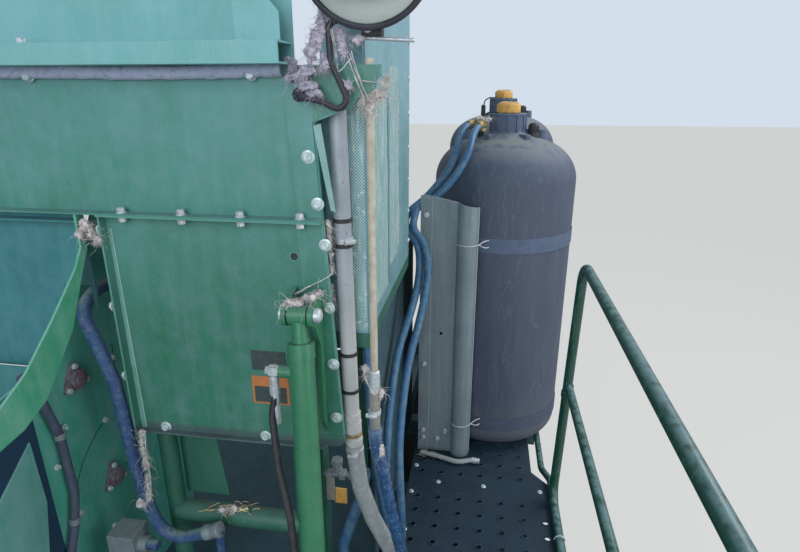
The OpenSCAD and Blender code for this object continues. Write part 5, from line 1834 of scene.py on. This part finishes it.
@dataclass(frozen=True)
class MirrorHead(Assembly):
    """The round convex mirror, its mount and its bent arm.

    Attributes:
        at: Centre of the mirror's rim.
        radius: Radius of the rim.
        depth: Depth of the bowl.
        tilt: How far its face looks up, in degrees.
    """

    at: Point = (17.0, -70.0, 1731.0)
    radius: float = 127.5
    depth: float = 46.0
    tilt: float = 12.0

    def build(self) -> None:
        """Turns the bowl and the glass, bends the arm and sets the mount."""
        r = self.radius
        face = Vector((0, -math.sin(math.radians(90 + self.tilt)),
                       math.cos(math.radians(90 + self.tilt))))
        bowl = [(6, -self.depth)] + [
            (r * math.sin(math.radians(a)), -self.depth * math.cos(math.radians(a)))
            for a in range(10, 86, 5)] + [(r, 0), (r, 8), (r - 2, 11), (r - 6, 12),
                                          (r - 9, 10), (r - 10, 4), (r - 30, 3), (10, 3)]
        shell = Bench.turned("mirror_bowl", bowl, 96)
        Bench.settle(shell, place(*self.at), face)
        self.issue(Bench.smooth(shell, 40), "mirror_back", replaces=["mirror_shell"])
        lens = r - 10.3
        glass = Bench.turned("mirror_lens", [(lens, 2.3), (lens, 6.8)] + [
            (lens * math.cos(math.radians(a)), 7 + 9 * math.sin(math.radians(a)))
            for a in range(4, 89, 4)], 96)
        Bench.settle(glass, place(*self.at), face)
        self.issue(Bench.smooth(glass, 60), "mirror", replaces=["mirror_glass"])
        self.arm()

    def arm(self) -> None:
        """Bends the arm that loops down to the housing, with its clamp block and bolts."""
        x, y, z = self.at
        route = Route((
            (x, y + 45.3, z + 9.6), (x, y + 84, z + 16), (17, 14, 1650), (-66, -30, 1622),
            (-64, -30, 1553), (-14, -30, 1444), (-84, -30, 1478), (-140, -30, 1490),
            (-140, -4.3, 1490)), 19)
        arm = Bench.swept("mirror_tube", route.line(8), 6.5, 20)
        block = Bench.slab("block", place(-3, -26, 1598), place(38, 4, 1626), 4)
        foot = Bench.turned("foot", [(14, 0), (14, 3), (11, 5), (8.4, 10)], 32)
        Bench.settle(foot, place(-140, -4.3, 1490), BACK)
        self.issue(Bench.smooth(Bench.join("mirror_tube", [arm, block, foot]), 40),
                   "mirror_back", replaces=["mirror_arm"])
        bar = Bench.swept("bar", [place(-20, -12, 1597), place(96, 8, 1592)], 4.2, 12)
        ends = Fastener(9, 7, 8).model()
        bolts = Bench.copied("bolts", ends, [
            (place(2, -12, 1626), UP, 0.2), (place(30, -12, 1626), UP, 0.5),
            (place(10, -26, 1612), BACK, 0.5), (place(-118, -9, 1490), BACK, 0.3),
            (place(-160, -5, 1556), BACK, 0.3)])
        self.issue(Bench.join("mirror_bolts", [bar, bolts]), "zinc")


@dataclass(frozen=True)
class Tuft:
    """One clump of cotton lint.

    Attributes:
        at: Middle of the clump in the deck's millimetres.
        size: Half width, depth and height in millimetres.
        fibres: Number of loose fibres round it.
        hang: How far the long fibres droop in millimetres.
    """

    at: Point
    size: Point
    fibres: int = 90
    hang: float = 9.0


@dataclass(frozen=True)
class Lint(Assembly):
    """Cotton that the wind packed round the mirror's arm, bolts, pipes and corners.

    Attributes:
        thread: Radius of a twisted thread.
        fibre: Radius of a loose fibre at its root.
    """

    thread: float = 0.7
    fibre: float = 0.45

    def build(self) -> None:
        """Makes every group of clumps with its fibres."""
        # Place and half width, depth and height of each clump
        groups = {
            "lint_mirror_arm": (
                (-140, -22, 1524, 22, 12, 9), (-116, -26, 1508, 20, 12, 10),
                (-98, -30, 1492, 14, 10, 7), (-146, -16, 1546, 10, 8, 12),
                (-104, -32, 1566, 12, 10, 22), (-92, -32, 1592, 13, 10, 22),
                (-112, -28, 1536, 14, 10, 10), (-80, -32, 1622, 11, 9, 18),
                (-78, -30, 1548, 9, 8, 20), (-66, -28, 1636, 9, 7, 14),
                (-44, -28, 1600, 13, 8, 17), (-40, -28, 1574, 9, 7, 16),
                (-30, -22, 1508, 8, 7, 9), (-14, -24, 1594, 14, 8, 7)),
            "lint_tan_line": (
                (6, 2, 1458, 11, 10, 10), (12, 0, 1474, 13, 9, 13), (-6, 0, 1480, 9, 8, 12),
                (28, -8, 1490, 13, 6, 13), (42, -8, 1512, 8, 5, 15)),
            "lint_pipe": (
                (-97, 20, 1168, 6, 8, 30), (-98, 20, 1205, 7, 8, 20),
                (-96, 24, 1120, 5, 7, 26), (-97, 28, 1040, 3, 5, 30)),
            "lint_cylinder": (
                (-152, -78, 1062, 20, 14, 7), (-120, -74, 1071, 15, 11, 6),
                (-172, -80, 1048, 9, 10, 8), (-104, -60, 1078, 8, 8, 5)),
            "lint_brace": (
                (-660, -36, 1204, 11, 11, 15), (-672, -40, 1186, 8, 9, 11),
                (-648, -34, 1190, 9, 10, 18), (-640, -32, 1168, 6, 8, 10)),
            "lint_tank": (
                (216, 1158, 1390, 18, 16, 11), (214, 1150, 1366, 10, 10, 19),
                (247, 1118, 1390, 12, 11, 8)),
            "lint_low_hose": (
                (-611, -34, 636, 4, 6, 20), (-610, -40, 600, 5, 6, 22),
                (-607, -42, 560, 4, 6, 20), (-608, -44, 505, 4, 6, 26),
                (-612, -46, 460, 6, 7, 16), (-632, -52, 436, 13, 10, 8)),
            "lint_tube": (
                (-440, 30, 370, 16, 12, 6), (-410, 26, 376, 7, 7, 12),
                (-430, -34, -38, 30, 24, 9), (-350, 10, -38, 22, 24, 8)),
            "lint_pipe_foot": (
                (-18, 20, 845, 7, 7, 22), (20, 10, 800, 7, 6, 12), (20, 2, 640, 5, 4, 14)),
        }
        for number, (name, tufts) in enumerate(groups.items()):
            key = "lint_grey" if name == "lint_mirror_arm" else "lint"
            clumps = [Tuft(row[:3], row[3:]) for row in tufts]
            self.issue(self.group(name, clumps, 11 + number), key)
        self.threads()

    def threads(self) -> None:
        """Twists the threads of cotton that hang between bolts, arm and lines."""
        chance = random.Random(23)
        runs: tuple[tuple[Point, ...], ...] = (
            ((-24, -30, 1570), (-6, -26, 1510), (6, -4, 1482)),
            ((-34, -30, 1576), (-16, -26, 1520), (0, -4, 1476)),
            ((-60, -34, 1612), (-50, -30, 1560), (-52, -24, 1524), (-32, -24, 1510)),
            ((-92, -32, 1560), (-62, -34, 1540), (-46, -30, 1530), (-24, -28, 1558)),
            ((44, -8, 1516), (20, -10, 1512), (-6, -24, 1520)),
            ((-96, 14, 1120), (-80, -8, 1112), (-96, -14, 1096), (-150, -16, 1070),
             (-178, -30, 1052)),
            ((-598, -36, 660), (-604, -40, 600), (-600, -44, 540), (-602, -46, 470),
             (-620, -50, 440)),
            ((-20, 6, 852), (-6, -6, 820), (16, -4, 790), (24, -2, 800)))
        parts = []
        for run in runs:
            for _ in range(3):
                shaken = Route(tuple((x + chance.uniform(-2.5, 2.5), y + chance.uniform(-2, 2),
                                      z + chance.uniform(-2.5, 2.5)) for x, y, z in run), 10)
                phase = chance.uniform(0, 6)
                parts.append(Bench.swept(
                    "thread", shaken.flow(10), self.thread, 6,
                    lambda s, a=phase: 1.0 + 0.6 * math.sin(s / 0.005 + a)))
        self.issue(Bench.join("cotton_threads", parts), "lint")

    def group(self, name: str, tufts: Sequence[Tuft], seed: int) -> Piece:
        """Makes one group of clumps as a single piece.

        Args:
            name: Name of the piece.
            tufts: Its clumps.
            seed: Seed of its chance.

        Returns:
            The piece.
        """
        chance = random.Random(seed)
        parts = []
        for tuft in tufts:
            blob = Bench.started("tuft", bpy.ops.mesh.primitive_ico_sphere_add,
                                 subdivisions=5, radius=1.0)
            half = Vector(tuft.size) * MM
            blob.data.transform(Matrix.Translation(place(*tuft.at))
                                @ Matrix.Diagonal((*half, 1.0)))
            parts.append(blob)
        obj = Bench.join(name, parts)
        for grade, size, depth, height in (("_coarse", 17, 3, 24), ("_fine", 4.5, 2, 6)):
            texture = bpy.data.textures.new(name + grade, "CLOUDS")
            texture.noise_scale = size * MM
            texture.noise_depth = depth
            Bench.worked(obj, "DISPLACE", texture=texture, texture_coords="LOCAL",
                         strength=height * MM, mid_level=0.55)
        fibres = self.fibres(name + "_fibres", tufts, chance)
        return Bench.smooth(Bench.join(name, [obj, fibres]), 70)

    def fibres(self, name: str, tufts: Sequence[Tuft], chance: random.Random) -> Piece:
        """Draws the loose fibres that stand out of the clumps.

        Args:
            name: Name of the piece.
            tufts: Clumps that they leave.
            chance: Source of chance.

        Returns:
            The fibres as one mesh.
        """
        curve = bpy.data.curves.new(name, "CURVE")
        curve.dimensions = "3D"
        curve.bevel_depth = self.fibre * MM
        curve.bevel_resolution = 0
        for tuft in tufts:
            for number in range(tuft.fibres):
                aim = Vector([chance.gauss(0, 1) for _ in range(3)]).normalized()
                start = Vector(tuft.at) + Vector([
                    a * s * 0.85 for a, s in zip(aim, tuft.size)])
                # Every ninth fibre is a long one
                reach = chance.uniform(14, 34) if number % 9 == 0 else chance.uniform(3, 10)
                side = Vector([chance.gauss(0, 1) for _ in range(3)]).normalized()
                spline = curve.splines.new("POLY")
                spline.points.add(6)
                for j in range(7):
                    t = j / 6
                    at = (start + aim * reach * t + side * (reach * 0.5 * math.sin(3.4 * t))
                          - UP * tuft.hang * (reach / 26) * t * t)
                    spline.points[j].co = (*place(*at), 1.0)
                    spline.points[j].radius = 1.0 - 0.6 * t
        return Bench.meshed(name, curve)


@dataclass(frozen=True)
class FrameDress(Assembly):
    """Bolts on the cradle and the deck, the cylinder's pin, and the stalks caught there."""

    def build(self) -> None:
        """Sets the bolts, scatters the stalks and domes the pin."""
        spots = [(place(34, 893, z), BACK, 0.2 * k)
                 for k, z in enumerate((63, 100, 420, 760, 1050))]
        spots += [(place(96, 898, 60), BACK, 0.1), (place(128, 898, 100), BACK, 0.5)]
        self.issue(Bench.copied("cradle_bolts", Fastener(11, 9, 9).model(), spots), "zinc")
        deck = [(place(x, y, 0), UP, 0.3 * k) for k, (x, y) in enumerate(
            [(20, -700), (20, -300), (20, 420), (20, 620), (545, -820), (300, -925),
             (120, 690), (520, 690), (20, 780), (300, 690)])]
        self.issue(Bench.copied("deck_screws", Fastener(10, 8, 6).model(), deck), "bolt")
        self.stalks()
        self.pin_ends()

    def stalks(self) -> None:
        """Scatters the dry stalks that lie on the cross tube and the pan."""
        chance = random.Random(7)
        parts = []
        beds = [((-420, 40, 366), 90, 26), ((-430, 20, -42), 170, 60),
                ((-300, 150, -42), 120, 90), ((60, 860, 4), 30, 20)]
        for bed, wide, deep in beds:
            for _ in range(16):
                at = Vector(bed) + Vector((chance.uniform(-wide, wide),
                                           chance.uniform(-deep, deep), chance.uniform(0, 5)))
                aim = Vector((chance.uniform(-1, 1), chance.uniform(-0.6, 0.6),
                              chance.uniform(-0.03, 0.12))).normalized()
                length = chance.uniform(16, 46)
                bow = Vector((0, 0, chance.uniform(0, 4)))
                parts.append(Bench.swept("stalk", [
                    place(*(at - aim * length / 2)), place(*(at + bow)),
                    place(*(at + aim * length / 2))], chance.uniform(0.9, 1.8), 6))
        self.issue(Bench.join("dry_stalks", parts), "straw")
        corners = ((0, 0), (1, 3), (0.9, 11), (0.1, 7))
        leaves = [Bench.patch("leaf", [place(x + a * dx, y + a * dy, 367 + b)
                                       for a, b in corners], Vector((0, 0.8, 0)))
                  for x, y, dx, dy in ((-436, 34, 34, -6), (-420, 40, 44, -12),
                                       (-398, 30, 26, 8))]
        self.issue(Bench.join("dry_husks", leaves), "husk")

    def pin_ends(self) -> None:
        """Domes the end of the cylinder's upper pin."""
        dome = Bench.turned("dome", [(16.5, 0), (16.5, 2), (14, 6), (9, 9), (3, 10)], 32)
        Bench.settle(dome, place(-145 + 42.8, -74, 1030), OUT)
        self.issue(Bench.smooth(dome), "zinc")


def build_all() -> None:
    """Builds the section's looks in order, from the studio to the lint."""
    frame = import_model()
    wardrobe = Wardrobe()
    Studio().build()
    for name, obj in frame["nodes"].items():
        wardrobe.dress(obj, NODE_FINISH[name])
    for kind in (TankPair, RailTubes, Hoses, MirrorHead, HousingDress, FrameDress, Lint):
        kind(wardrobe).build()
        log.info("%s done", kind.__name__)


def main() -> None:
    """Runs the build with plain log lines."""
    logging.basicConfig(level=logging.INFO, format="%(message)s")
    build_all()


if __name__ == "__main__":
    main()
